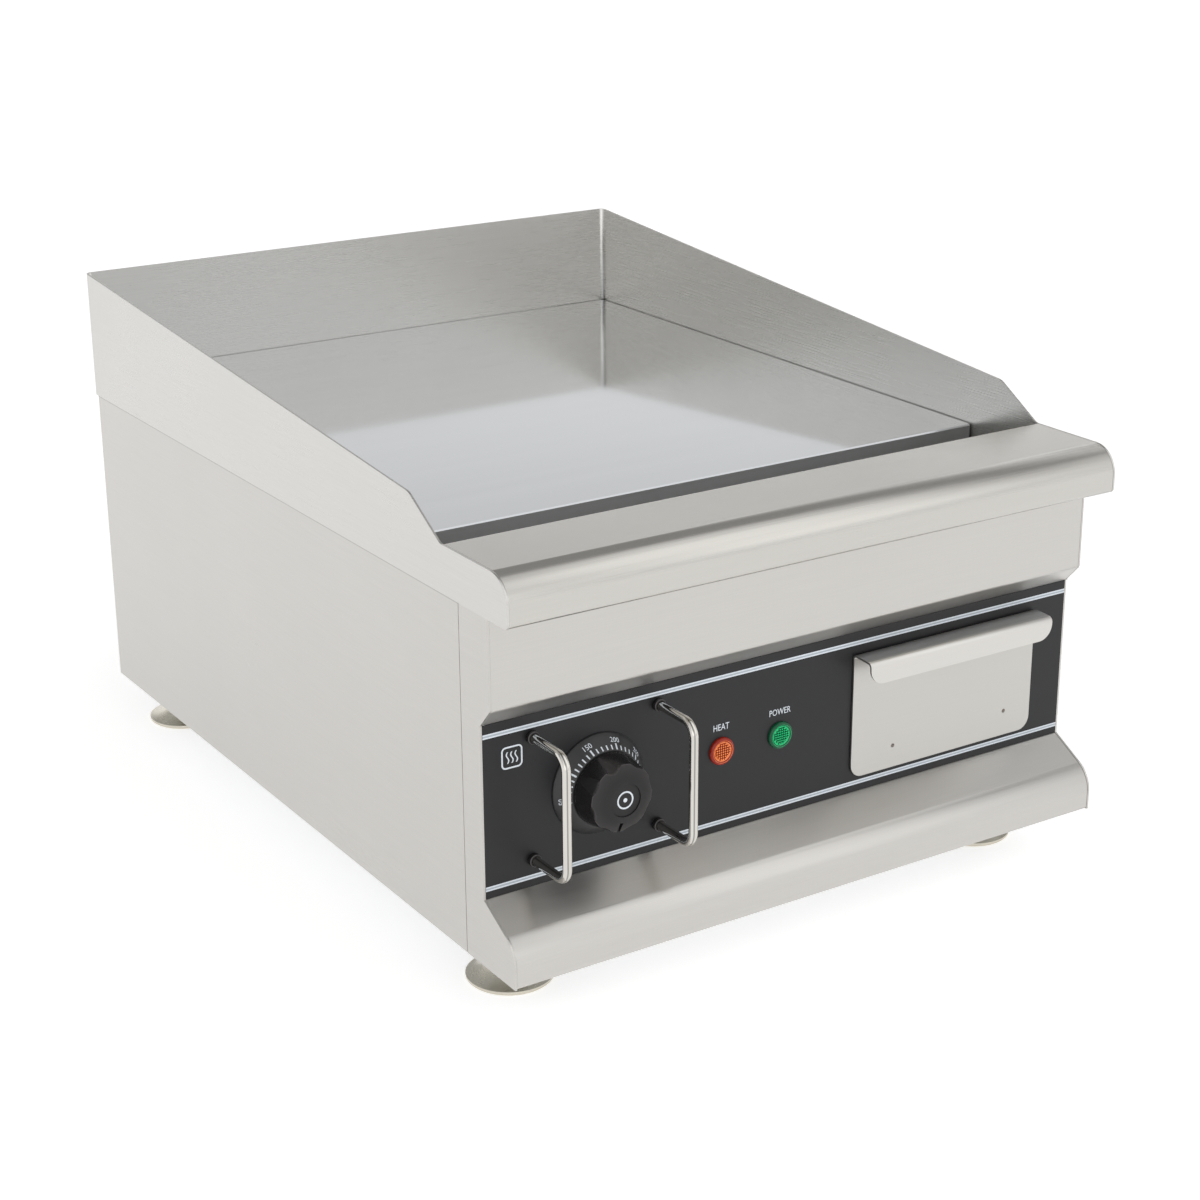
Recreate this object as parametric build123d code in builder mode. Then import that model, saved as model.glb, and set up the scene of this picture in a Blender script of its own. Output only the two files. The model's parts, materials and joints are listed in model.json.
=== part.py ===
from build123d import *
import math
import os

# Electric flat top griddle, counter model.
# Frame: origin at the middle of the footprint on the bench, +X to the right seen from the
# front, +Y towards the back, +Z up.  Millimetres.

os.makedirs("parts", exist_ok=True)

# ---------------------------------------------------------------- driving dimensions
sheet = 1.2  # body sheet steel
overall_depth = 560.0  # knob guards to cable gland
body_half = 200.0  # half the body's width
guard_reach = 36.0  # knob guards stand this far out of the panel
body_bottom = 31.0  # the feet hold the body this high

panel_y = -overall_depth / 2 + guard_reach  # front of the black control panel
skirt_y = panel_y - 30.5  # front of the lower skirt
upper_y = skirt_y + 20.5  # front of the upper panel
lip_y = skirt_y - 1.2  # front of the top lip
seam_y = skirt_y + 49.5  # joint between cheek and side panel
lip_rear_y = skirt_y + 64.5
kink_y = skirt_y + 96.5  # top of the steep edge of the splash guard
plate_front_y = skirt_y + 119.5
plate_rear_y = skirt_y + 531.8
rear_y = skirt_y + 530.5  # outside of the rear panel
collar_rear_y = skirt_y + 533.5  # outside of the splash guard's back

skirt_bend_z = 53.0
panel_bottom_z = 70.0
panel_top_z = 167.5
upper_bottom_z = 178.5
collar_bottom_z = 229.0
plate_top_z = 242.0
lip_top_z = 255.5
kink_z = 274.5
splash_top_z = 310.0

plate_thickness = 12.0
plate_half = 199.5
lip_radius = 16.0
lip_corner = 3.0  # lower front corner of the lip and of the splash guard's arms
corner_radius = 4.0  # rear corners of the splash guard
skirt_radius = 18.0

# control panel fittings: positions are (x, z) on the panel
knob_at = (-129.5, 119.0)
guard_xs = {"left": -169.7, "right": -91.5}
guard_zs = (155.0, 85.4)
lamp_at = {"heat": (-49.8, 118.0), "power": (-10.1, 118.0)}
dial_radius = 28.4
dial_rim = 1.0  # straight edge of the dial against the panel
dial_height = 9.0  # the dial is a cone that rises from its rim to the knob
dial_top_radius = 21.3
knob_reach = 26.9  # front of the knob, from the panel
pointer_angle = -98.0  # groove that points, at off, counted from +X about the knob's own axis
spindle_radius = 3.0
running_gap = 0.05  # radial clearance of a shaft in its hole
clear_gap = 0.1  # radial clearance of a bolt in its hole

drawer_left_x = 48.5
drawer_right_x = 166.5
drawer_bottom_z = 84.2
drawer_top_z = 149.0
drawer_length = 304.0
front_left_x = 40.0
front_right_x = 174.5

foot_x = 165.0
foot_ys = {"front": -209.5, "rear": 228.0}
stud_radius = 5.0

inner_half = body_half - sheet  # inside faces of the side panels
collar_half = body_half + sheet  # outside faces of the splash guard
plate_under_z = plate_top_z - plate_thickness
overlay_thickness = 0.6
panel_back_y = panel_y + overlay_thickness + sheet
body_top_z = plate_under_z - 0.2  # the body sheets end inside the collar, under the plate


def facing_front(x, y, z):
    """A plane that faces the front (-Y), with X to the right and Z up."""
    return Plane(origin=(x, y, z), x_dir=(1, 0, 0), z_dir=(0, -1, 0))


def facing_back(x, y, z):
    """A plane that faces the back (+Y)."""
    return Plane(origin=(x, y, z), x_dir=(-1, 0, 0), z_dir=(0, 1, 0))


def tube_along(points, radii, radius):
    """A round bar of the given radius along straight runs joined by arcs."""
    with BuildPart() as bar:
        with BuildLine() as route:
            FilletPolyline(*points, radius=radii)
        start = route.wires()[0] @ 0
        heading = route.wires()[0] % 0
        with BuildSketch(Plane(origin=start, z_dir=heading)):
            Circle(radius)
        sweep()
    return bar.part


# ---------------------------------------------------------------- body shell
rear_flange = 16.0
cheek_strip_width = 18.0  # lies behind the side panel's front edge
cheek_strip_height = 174.0
cheek_strip_z = 137.0  # its middle
rear_screw_x = 191.0
rear_screw_zs = (50.0, 105.0, 160.0, 215.0)
rear_screw_radius = 2.0

seam_gap = 0.7

for side, side_name in ((-1, "left"), (1, "right")):
    # flat side with a flange behind, which the rear panel is screwed to
    with BuildPart() as side_panel:
        with BuildSketch(Plane.XY.offset(body_bottom)):
            with BuildLine():
                Polyline(
                    (side * body_half, seam_y + seam_gap / 2),
                    (side * body_half, rear_y - sheet),
                    (side * (inner_half - rear_flange), rear_y - sheet),
                    (side * (inner_half - rear_flange), rear_y - 2 * sheet),
                    (side * inner_half, rear_y - 2 * sheet),
                    (side * inner_half, seam_y + seam_gap / 2),
                    close=True,
                )
            make_face()
        extrude(amount=body_top_z - body_bottom)
        for screw_z in rear_screw_zs:
            with Locations(facing_back(side * rear_screw_x, rear_y - sheet, screw_z)):
                Hole(rear_screw_radius + clear_gap, depth=sheet)
    side_panel.part.label = f"side_panel_{side_name}"
    export_step(side_panel.part, f"parts/side_panel_{side_name}.step")

    # end cheek of the front, with the front's own outline, and a strip behind the seam
    with BuildPart() as front_cheek:
        with BuildSketch(Plane.YZ.offset(side * (body_half - sheet / 2))):
            with BuildLine():
                FilletPolyline(
                    (skirt_y, body_bottom),
                    (skirt_y, skirt_bend_z),
                    (panel_y, panel_bottom_z),
                    (panel_y, panel_top_z),
                    (upper_y, upper_bottom_z),
                    (upper_y, body_top_z),
                    (seam_y - seam_gap / 2, body_top_z),
                    (seam_y - seam_gap / 2, body_bottom),
                    radius=(0, skirt_radius, 0, 0, 3, 0, 0, 0),
                    close=True,
                )
            make_face()
        extrude(amount=sheet / 2, both=True)
        with Locations((side * (inner_half - sheet / 2), seam_y + 3.0, cheek_strip_z)):
            Box(sheet, cheek_strip_width, cheek_strip_height)
    front_cheek.part.label = f"front_cheek_{side_name}"
    export_step(front_cheek.part, f"parts/front_cheek_{side_name}.step")

gland_at = (-120.0, 75.0)  # (x, z) on the rear panel
earth_at = (-66.0, 60.0)
reset_at = (-20.0, 66.0)
gland_radius = 10.0
earth_radius = 3.0
button_radius = 5.0
edge_gap = 0.4  # the rear panel stops this short of the sides' outer faces
vent_length = 44.0
vent_width = 4.0
rear_vents_z = 190.0  # middle of the rear panel's vents

with BuildPart() as rear_panel:
    with BuildSketch(Plane.XZ.offset(-rear_y)):
        with Locations((0, (body_bottom + body_top_z) / 2)):
            Rectangle(2 * (body_half - edge_gap), body_top_z - body_bottom)
        for side in (-1, 1):
            with Locations(*[(side * rear_screw_x, screw_z) for screw_z in rear_screw_zs]):
                Circle(rear_screw_radius + clear_gap, mode=Mode.SUBTRACT)
        with Locations((0, rear_vents_z)):
            with GridLocations(56.0, 12.0, 5, 3):
                SlotOverall(vent_length, vent_width, mode=Mode.SUBTRACT)
        with Locations(gland_at):
            Circle(gland_radius + clear_gap, mode=Mode.SUBTRACT)
        with Locations(earth_at):
            Circle(earth_radius + clear_gap, mode=Mode.SUBTRACT)
        with Locations(reset_at):
            Circle(button_radius + clear_gap, mode=Mode.SUBTRACT)
    extrude(amount=sheet)
rear_panel.part.label = "rear_panel"
export_step(rear_panel.part, "parts/rear_panel.step")

rear_head_radius = 3.8
rear_head_height = 2.2
rear_screw_length = 7.0
cross_length = 4.2  # cross recess of the screws
cross_width = 0.9
cross_depth = 1.2

with BuildPart() as rear_screws:
    for side in (-1, 1):
        for screw_z in rear_screw_zs:
            with BuildSketch(facing_back(side * rear_screw_x, rear_y, screw_z)):
                Circle(rear_head_radius)
            extrude(amount=rear_head_height)
            with BuildSketch(facing_back(side * rear_screw_x, rear_y, screw_z)):
                Circle(rear_screw_radius)
            extrude(amount=-rear_screw_length)
            with BuildSketch(facing_back(side * rear_screw_x, rear_y + rear_head_height, screw_z)):
                Rectangle(cross_length, cross_width)
                Rectangle(cross_width, cross_length)
            extrude(amount=-cross_depth, mode=Mode.SUBTRACT)
    fillet(rear_screws.faces().sort_by(Axis.Y)[-8:].edges().filter_by(GeomType.CIRCLE), 0.9)
rear_screws.part.label = "rear_screws"
export_step(rear_screws.part, "parts/rear_screws.step")

pan_front_y = skirt_y + 20.0
pan_rear_y = rear_y - 2 * sheet - 0.2
pan_flange = 15.0
side_flange_length = 450.0
side_flange_y = 25.0  # middle of the side flanges
rear_flange_length = 360.0
pan_vents_y = -60.0
pan_hole_gap = 0.3
pan_top_z = body_bottom + sheet
stud_gap = stud_radius + running_gap

with BuildPart() as base_pan:
    with BuildSketch(Plane.XY.offset(body_bottom)):
        with Locations((0, (pan_front_y + pan_rear_y) / 2)):
            Rectangle(2 * inner_half, pan_rear_y - pan_front_y)
        for foot_y in foot_ys.values():
            with Locations((-foot_x, foot_y), (foot_x, foot_y)):
                Circle(stud_radius + pan_hole_gap, mode=Mode.SUBTRACT)
        with Locations((0, pan_vents_y)):
            with GridLocations(56.0, 14.0, 4, 7):
                SlotOverall(vent_length, vent_width, mode=Mode.SUBTRACT)
    extrude(amount=sheet)
    with BuildSketch(Plane.XY.offset(pan_top_z)):
        for side in (-1, 1):
            with Locations((side * (inner_half - sheet / 2), side_flange_y)):
                Rectangle(sheet, side_flange_length)
        with Locations((0, pan_rear_y - sheet / 2)):
            Rectangle(rear_flange_length, sheet)
    extrude(amount=pan_flange)
base_pan.part.label = "base_pan"
export_step(base_pan.part, "parts/base_pan.step")

panel_return = 12.0  # the sheets above and below the control panel turn in this far

with BuildPart() as upper_front_panel:
    with BuildSketch(Plane.YZ.offset(-inner_half)):
        with BuildLine():
            FilletPolyline(
                (upper_y, body_top_z),
                (upper_y, upper_bottom_z),
                (panel_y, panel_top_z),
                (panel_y + panel_return, panel_top_z),
                radius=(3.0, 2.0),
            )
            offset(amount=sheet, side=Side.LEFT)
        make_face()
    extrude(amount=2 * inner_half)
upper_front_panel.part.label = "upper_front_panel"
export_step(upper_front_panel.part, "parts/upper_front_panel.step")

with BuildPart() as lower_skirt:
    with BuildSketch(Plane.YZ.offset(-inner_half)):
        with BuildLine():
            FilletPolyline(
                (panel_y + panel_return, panel_bottom_z),
                (panel_y, panel_bottom_z),
                (skirt_y, skirt_bend_z),
                (skirt_y, body_bottom),
                (pan_front_y, body_bottom),
                radius=(2.0, skirt_radius, 2.0),
            )
            offset(amount=sheet, side=Side.LEFT)
        make_face()
    extrude(amount=2 * inner_half)
lower_skirt.part.label = "lower_skirt"
export_step(lower_skirt.part, "parts/lower_skirt.step")

# ---------------------------------------------------------------- control panel
guard_radius = 2.5
spindle_hole_radius = spindle_radius + 1.5
lamp_neck_radius = 6.2
screw_pitch = 28.0  # the thermostat's two fixing screws
fixing_radius = 2.0
aperture_margin = 2.0
panel_mid_z = (panel_bottom_z + panel_top_z) / 2
panel_height = panel_top_z - panel_bottom_z
drawer_mid_x = (drawer_left_x + drawer_right_x) / 2
drawer_mid_z = (drawer_bottom_z + drawer_top_z) / 2
drawer_width = drawer_right_x - drawer_left_x
drawer_height = drawer_top_z - drawer_bottom_z

panel_layers = {
    "panel_overlay": (panel_y + overlay_thickness, overlay_thickness),
    "control_panel": (panel_back_y, sheet),
}
for layer_name, (layer_back_y, layer_thickness) in panel_layers.items():
    with BuildPart() as layer:
        with BuildSketch(Plane.XZ.offset(-layer_back_y)):
            with Locations((0, panel_mid_z)):
                Rectangle(2 * inner_half, panel_height)
            with Locations(knob_at):
                Circle(spindle_hole_radius, mode=Mode.SUBTRACT)
                with GridLocations(screw_pitch, 1, 2, 1):
                    Circle(fixing_radius + clear_gap, mode=Mode.SUBTRACT)
            with Locations(*lamp_at.values()):
                Circle(lamp_neck_radius + clear_gap, mode=Mode.SUBTRACT)
            with Locations(*[(x, z) for x in guard_xs.values() for z in guard_zs]):
                Circle(guard_radius + clear_gap, mode=Mode.SUBTRACT)
            with Locations((drawer_mid_x, drawer_mid_z)):
                Rectangle(
                    drawer_width + 2 * aperture_margin,
                    drawer_height + 2 * aperture_margin,
                    mode=Mode.SUBTRACT,
                )
        extrude(amount=layer_thickness)
    layer.part.label = layer_name
    export_step(layer.part, f"parts/{layer_name}.step")

guard_bar_y = panel_y - guard_reach + guard_radius
guard_end_y = panel_back_y + 9.0
guard_bend = 8.0
for side_name, guard_x in guard_xs.items():
    with BuildPart() as knob_guard:
        add(
            tube_along(
                [
                    (guard_x, guard_end_y, guard_zs[0]),
                    (guard_x, guard_bar_y, guard_zs[0]),
                    (guard_x, guard_bar_y, guard_zs[1]),
                    (guard_x, guard_end_y, guard_zs[1]),
                ],
                guard_bend,
                guard_radius,
            )
        )
    knob_guard.part.label = f"knob_guard_{side_name}"
    export_step(knob_guard.part, f"parts/knob_guard_{side_name}.step")

guard_feet = [(x, z) for x in guard_xs.values() for z in guard_zs]
ferrule_radius = 3.6
ferrule_height = 3.2
guard_nut_height = 4.0

with BuildPart() as guard_ferrules:
    with BuildSketch(facing_front(0, panel_y, 0)):
        with Locations(*guard_feet):
            Circle(ferrule_radius)
            Circle(guard_radius + running_gap, mode=Mode.SUBTRACT)
    extrude(amount=ferrule_height)
    front_circles = guard_ferrules.faces().sort_by(Axis.Y)[:4].edges()
    chamfer(front_circles.filter_by(lambda e: e.radius > guard_radius + 0.5), 0.5)
guard_ferrules.part.label = "guard_ferrules"
export_step(guard_ferrules.part, "parts/guard_ferrules.step")

with BuildPart() as guard_nuts:
    with BuildSketch(facing_front(0, panel_back_y + guard_nut_height, 0)):
        with Locations(*guard_feet):
            RegularPolygon(4.0, 6, major_radius=False)
            Circle(guard_radius + running_gap, mode=Mode.SUBTRACT)
    extrude(amount=guard_nut_height)
guard_nuts.part.label = "guard_nuts"
export_step(guard_nuts.part, "parts/guard_nuts.step")

# ---------------------------------------------------------------- thermostat, dial and knob
knob_x, knob_z = knob_at
knob_axis = Axis((knob_x, 0, knob_z), (0, 1, 0))
dial_front_y = panel_y - dial_height
head_radius = 3.6  # heads of the fixing screws
head_depth = 1.8

with BuildPart() as dial_plate:
    with BuildSketch(Plane.XY.offset(knob_z)):
        with BuildLine():
            Polyline(
                (knob_x + spindle_hole_radius, panel_y),
                (knob_x + dial_radius, panel_y),
                (knob_x + dial_radius, panel_y - dial_rim),
                (knob_x + dial_top_radius, dial_front_y),
                (knob_x + spindle_hole_radius, dial_front_y),
                close=True,
            )
        make_face()
    revolve(axis=knob_axis)
    with Locations(facing_front(knob_x, dial_front_y, knob_z)):
        with GridLocations(screw_pitch, 1, 2, 1):
            CounterBoreHole(fixing_radius + clear_gap, head_radius + 0.2, head_depth, depth=dial_height)
dial_plate.part.label = "dial_plate"
export_step(dial_plate.part, "parts/dial_plate.step")

thermostat_plate = 1.2
plate_size = (48.0, 30.0)
block_size = (40.0, 36.0)
cell_radius = 12.0  # the expansion cell behind the block, where the capillary ends
cell_height = 5.0
thermostat_depth = 36.0
thermostat_front_y = panel_back_y
thermostat_rear_y = thermostat_front_y + thermostat_depth
spindle_inner_y = thermostat_front_y + 12.0
spindle_outer_y = panel_y - 22.0
screw_grip = 4.0  # the fixing screws reach this far into the thermostat
screw_end_y = thermostat_front_y + screw_grip
tab_drop = 13.5  # the terminals lie this far below the spindle
tab_length = 8.0
tab_pitch = 9.0
cell_z = knob_z + 4.0

with BuildPart() as thermostat_body:
    with BuildSketch(facing_back(knob_x, thermostat_front_y, knob_z)):
        RectangleRounded(*plate_size, 4.0)
    extrude(amount=thermostat_plate)
    with BuildSketch(facing_back(knob_x, thermostat_front_y, knob_z)):
        RectangleRounded(*block_size, 3.0)
    extrude(amount=thermostat_depth)
    with BuildSketch(facing_back(knob_x, thermostat_rear_y, cell_z)):
        Circle(cell_radius)
    extrude(amount=cell_height)
    with BuildSketch(facing_back(knob_x, thermostat_rear_y, knob_z - tab_drop)):
        with GridLocations(tab_pitch, 1, 4, 1):
            Rectangle(0.8, 6.3)
    extrude(amount=tab_length)
    with BuildSketch(facing_back(knob_x, thermostat_front_y, knob_z)):
        Circle(spindle_radius + running_gap)
    extrude(amount=spindle_inner_y - thermostat_front_y + 0.5, mode=Mode.SUBTRACT)
    with BuildSketch(facing_back(knob_x, thermostat_front_y, knob_z)):
        with GridLocations(screw_pitch, 1, 2, 1):
            Circle(fixing_radius + running_gap)
    extrude(amount=screw_grip + 0.5, mode=Mode.SUBTRACT)
thermostat_body.part.label = "thermostat_body"
export_step(thermostat_body.part, "parts/thermostat_body.step")

head_height = 1.6
slot_width = 0.9
with BuildPart() as thermostat_screws:
    for screw_x in (knob_x - screw_pitch / 2, knob_x + screw_pitch / 2):
        with BuildSketch(facing_front(screw_x, dial_front_y + head_depth, knob_z)):
            Circle(head_radius)
        extrude(amount=head_height)
        with BuildSketch(facing_front(screw_x, dial_front_y + head_depth - head_height, knob_z)):
            Rectangle(2 * head_radius - 2.0, slot_width)
        extrude(amount=-head_height / 2, mode=Mode.SUBTRACT)
        with BuildSketch(facing_front(screw_x, screw_end_y, knob_z)):
            Circle(fixing_radius)
        extrude(amount=screw_end_y - dial_front_y - head_depth)
thermostat_screws.part.label = "thermostat_screws"
export_step(thermostat_screws.part, "parts/thermostat_screws.step")

spindle_flat = 2.0  # distance from the spindle's axis to its flat
flat_cut = 4.0  # height of the cutting block that makes the flat
flat_length = 14.0

with BuildPart() as thermostat_spindle:
    with BuildSketch(facing_front(knob_x, spindle_inner_y, knob_z)):
        Circle(spindle_radius)
    extrude(amount=spindle_inner_y - spindle_outer_y)
    with BuildSketch(facing_front(knob_x, spindle_outer_y, knob_z)):
        with Locations((0, spindle_flat + flat_cut / 2)):
            Rectangle(2 * flat_cut, flat_cut)
    extrude(amount=-flat_length, mode=Mode.SUBTRACT)
thermostat_spindle.part.label = "thermostat_spindle"
export_step(thermostat_spindle.part, "parts/thermostat_spindle.step")

knob_gap = 0.6  # between the dial and the turning knob
knob_base_y = dial_front_y - knob_gap
knob_front_y = panel_y - knob_reach
knob_base_radius = 20.8
face_radius = 18.8  # where the knob's side meets its crowned face
face_edge_y = knob_front_y + 3.6
face_mid_radius = 14.4
face_mid_y = knob_front_y + 1.6
flute_count = 8
flute_radius = 16.0  # each flute is a cone that runs out at the knob's base
flute_depth = 1.1  # at the face
notch_angle = 108.0  # one deeper finger notch
notch_radius = 1.5
notch_depth = 2.4
pointer_width = 1.9
pointer_inner = 13.0
cap_radius = 9.2
cap_recess = 1.6
cap_thickness = 1.0
flute_angles = [pointer_angle + (k + 0.5) * 360.0 / flute_count for k in range(flute_count)]
knob_cuts = [(flute_radius, flute_depth, angle) for angle in flute_angles]
knob_cuts.append((notch_radius, notch_depth, notch_angle))

with BuildPart() as control_knob:
    with BuildSketch(Plane.XY.offset(knob_z)) as knob_turning:
        with BuildLine():
            Polyline(
                (knob_x, knob_front_y),
                (knob_x, knob_base_y),
                (knob_x + knob_base_radius, knob_base_y),
                (knob_x + face_radius, face_edge_y),
            )
            ThreePointArc(
                (knob_x + face_radius, face_edge_y),
                (knob_x + face_mid_radius, face_mid_y),
                (knob_x + cap_radius, knob_front_y),
            )
            Line((knob_x + cap_radius, knob_front_y), (knob_x, knob_front_y))
        make_face()
        face_edge_x = knob_x + face_radius
        fillet(knob_turning.vertices().filter_by_position(Axis.X, face_edge_x - 0.1, face_edge_x + 0.1), 0.6)
    revolve(axis=knob_axis)
    for cutter_radius, cutter_depth, cutter_angle in knob_cuts:
        cone_rise = knob_base_y - face_edge_y
        cone_growth = knob_base_radius - face_radius + cutter_depth
        with BuildSketch(facing_front(knob_x, knob_base_y, knob_z)):
            with PolarLocations(knob_base_radius + cutter_radius, 1, start_angle=cutter_angle):
                Circle(cutter_radius)
        extrude(
            amount=knob_base_y - knob_front_y + 1.0,
            taper=-math.degrees(math.atan(cone_growth / cone_rise)),
            mode=Mode.SUBTRACT,
        )
    with BuildSketch(facing_front(knob_x, knob_front_y, knob_z)):
        Circle(cap_radius)
    extrude(amount=-cap_recess, mode=Mode.SUBTRACT)
    # groove that marks the setting
    with BuildSketch(facing_front(knob_x, face_edge_y + 0.8, knob_z)):
        with PolarLocations((pointer_inner + knob_base_radius) / 2, 1, start_angle=pointer_angle):
            Rectangle(knob_base_radius - pointer_inner, pointer_width)
    extrude(amount=knob_reach, mode=Mode.SUBTRACT)
    with BuildSketch(facing_front(knob_x, knob_base_y, knob_z)):
        Circle(spindle_radius + running_gap)
        with Locations((0, spindle_flat + running_gap + flat_cut / 2)):
            Rectangle(2 * flat_cut, flat_cut, mode=Mode.SUBTRACT)
    extrude(amount=knob_base_y - spindle_outer_y + 0.5, mode=Mode.SUBTRACT)
control_knob.part.label = "control_knob"
export_step(control_knob.part, "parts/control_knob.step")

with BuildPart() as knob_cap:
    with BuildSketch(facing_front(knob_x, knob_front_y + cap_recess, knob_z)):
        Circle(cap_radius - clear_gap)
    extrude(amount=cap_thickness)
knob_cap.part.label = "knob_cap"
export_step(knob_cap.part, "parts/knob_cap.step")

# ---------------------------------------------------------------- indicator lamps
lens_flange = 8.0
lens_reach = 3.2
lens_end_y = panel_back_y + 7.0
for lamp_name, (lamp_x, lamp_z) in lamp_at.items():
    with BuildPart() as lamp_lens:
        with BuildSketch(facing_front(lamp_x, panel_y, lamp_z)):
            Circle(lens_flange)
        extrude(amount=lens_reach)
        fillet(lamp_lens.faces().sort_by(Axis.Y)[0].edges(), 1.2)
        with BuildSketch(facing_front(lamp_x, lens_end_y, lamp_z)):
            Circle(lamp_neck_radius)
        extrude(amount=lens_end_y - panel_y)
    lamp_lens.part.label = f"{lamp_name}_lamp_lens"
    export_step(lamp_lens.part, f"parts/{lamp_name}_lamp_lens.step")

lamp_rear_y = lens_end_y + 22.0
lamp_body_radius = 7.4
lamp_tab_length = 7.0
with BuildPart() as lamp_bodies:
    for lamp_x, lamp_z in lamp_at.values():
        with BuildSketch(facing_back(lamp_x, lens_end_y, lamp_z)):
            Circle(lamp_body_radius)
        extrude(amount=lamp_rear_y - lens_end_y)
        with BuildSketch(facing_back(lamp_x, lamp_rear_y, lamp_z)):
            with GridLocations(6.0, 1, 2, 1):
                Rectangle(0.8, 4.8)
        extrude(amount=lamp_tab_length)
lamp_bodies.part.label = "lamp_bodies"
export_step(lamp_bodies.part, "parts/lamp_bodies.step")

# ---------------------------------------------------------------- top: lip, splash guard, plate
lip_return_z = 230.2  # the lip's top turns down to here in front of the trough

with BuildPart() as front_lip:
    with BuildSketch(Plane.YZ.offset(-body_half)):
        with BuildLine():
            FilletPolyline(
                (upper_y, collar_bottom_z),
                (lip_y, collar_bottom_z),
                (lip_y, lip_top_z),
                (lip_rear_y, lip_top_z),
                (lip_rear_y, lip_return_z),
                radius=(lip_corner, lip_radius, 2.5),
            )
            offset(amount=sheet, side=Side.RIGHT)
        make_face()
    extrude(amount=2 * body_half)
front_lip.part.label = "front_lip"
export_step(front_lip.part, "parts/front_lip.step")

with BuildPart() as splash_guard:
    with BuildSketch(Plane.XY.offset(collar_bottom_z)):
        with BuildLine():
            FilletPolyline(
                (-collar_half, lip_y),
                (-collar_half, collar_rear_y),
                (collar_half, collar_rear_y),
                (collar_half, lip_y),
                radius=corner_radius,
            )
            offset(amount=sheet, side=Side.RIGHT)
        make_face()
    extrude(amount=splash_top_z - collar_bottom_z)
    with BuildSketch(Plane.YZ.offset(-collar_half)):
        with BuildLine():
            FilletPolyline(
                (lip_y, collar_bottom_z),
                (lip_y, lip_top_z),
                (lip_rear_y, lip_top_z),
                (kink_y, kink_z),
                (collar_rear_y, splash_top_z),
                (collar_rear_y, collar_bottom_z),
                radius=(lip_corner, lip_radius, 6.0, 10.0, 0, 3.0),
                close=True,
            )
        make_face()
    extrude(amount=2 * collar_half, mode=Mode.INTERSECT)
    # hem that closes the step down to the rear panel
    with BuildSketch(Plane.XY.offset(collar_bottom_z)):
        with Locations((0, (collar_rear_y - sheet + rear_y) / 2)):
            Rectangle(2 * (collar_half - 6.0), collar_rear_y - sheet - rear_y)
    extrude(amount=body_top_z - collar_bottom_z)
splash_guard.part.label = "splash_guard"
export_step(splash_guard.part, "parts/splash_guard.step")

element_xs = {"left": -120.0, "centre": 0.0, "right": 120.0}
element_half = 30.0  # half the distance between an element's two legs
element_radius = 4.0
element_z = plate_under_z - element_radius - 0.1
element_front_y = -128.0
element_rear_y = 232.0
bolt_ys = (-60.0, 60.0, 180.0)
bolt_xs = (-60.0, 60.0)
bolt_radius = 3.0
bolt_points = [(x, y) for x in bolt_xs for y in bolt_ys]
leg_points = [(x + s * element_half, element_front_y) for x in element_xs.values() for s in (-1, 1)]

with BuildPart() as griddle_plate:
    with BuildSketch(Plane.XY.offset(plate_under_z)) as plate_outline:
        with Locations((0, (plate_front_y + plate_rear_y) / 2)):
            Rectangle(2 * plate_half, plate_rear_y - plate_front_y)
        fillet(plate_outline.vertices().group_by(Axis.Y)[-1], 3.6)
        fillet(plate_outline.vertices().group_by(Axis.Y)[0], 2.0)
    extrude(amount=plate_thickness)
    chamfer(griddle_plate.faces().sort_by(Axis.Z)[-1].edges(), 0.8)
    with BuildSketch(Plane.XY.offset(plate_under_z)):
        with Locations(*bolt_points):
            Circle(bolt_radius + running_gap)
    extrude(amount=8.0, mode=Mode.SUBTRACT)
griddle_plate.part.label = "griddle_plate"
export_step(griddle_plate.part, "parts/griddle_plate.step")

support_leg = 20.0
support_thickness = 2.0
support_front_y = -150.0
support_length = 400.0
with BuildPart() as plate_supports:
    for side in (-1, 1):
        with BuildSketch(Plane.XZ.offset(-support_front_y)):
            with BuildLine():
                Polyline(
                    (side * inner_half, plate_under_z),
                    (side * (inner_half - support_leg), plate_under_z),
                    (side * (inner_half - support_leg), plate_under_z - support_thickness),
                    (side * (inner_half - support_thickness), plate_under_z - support_thickness),
                    (side * (inner_half - support_thickness), plate_under_z - support_leg),
                    (side * inner_half, plate_under_z - support_leg),
                    close=True,
                )
            make_face()
        extrude(amount=-support_length)
plate_supports.part.label = "plate_supports"
export_step(plate_supports.part, "parts/plate_supports.step")

# ---------------------------------------------------------------- grease trough and drain
trough_half = 198.5
trough_bottom_z = 206.0
trough_top_z = 240.0
trough_end_z = 231.0  # top of its end walls
trough_rear_y = plate_front_y + 4.0
drain_at = (drawer_mid_x, -181.0)
drain_radius = 12.8
drain_flange_radius = 20.0
chute_bottom_z = 168.0

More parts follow.
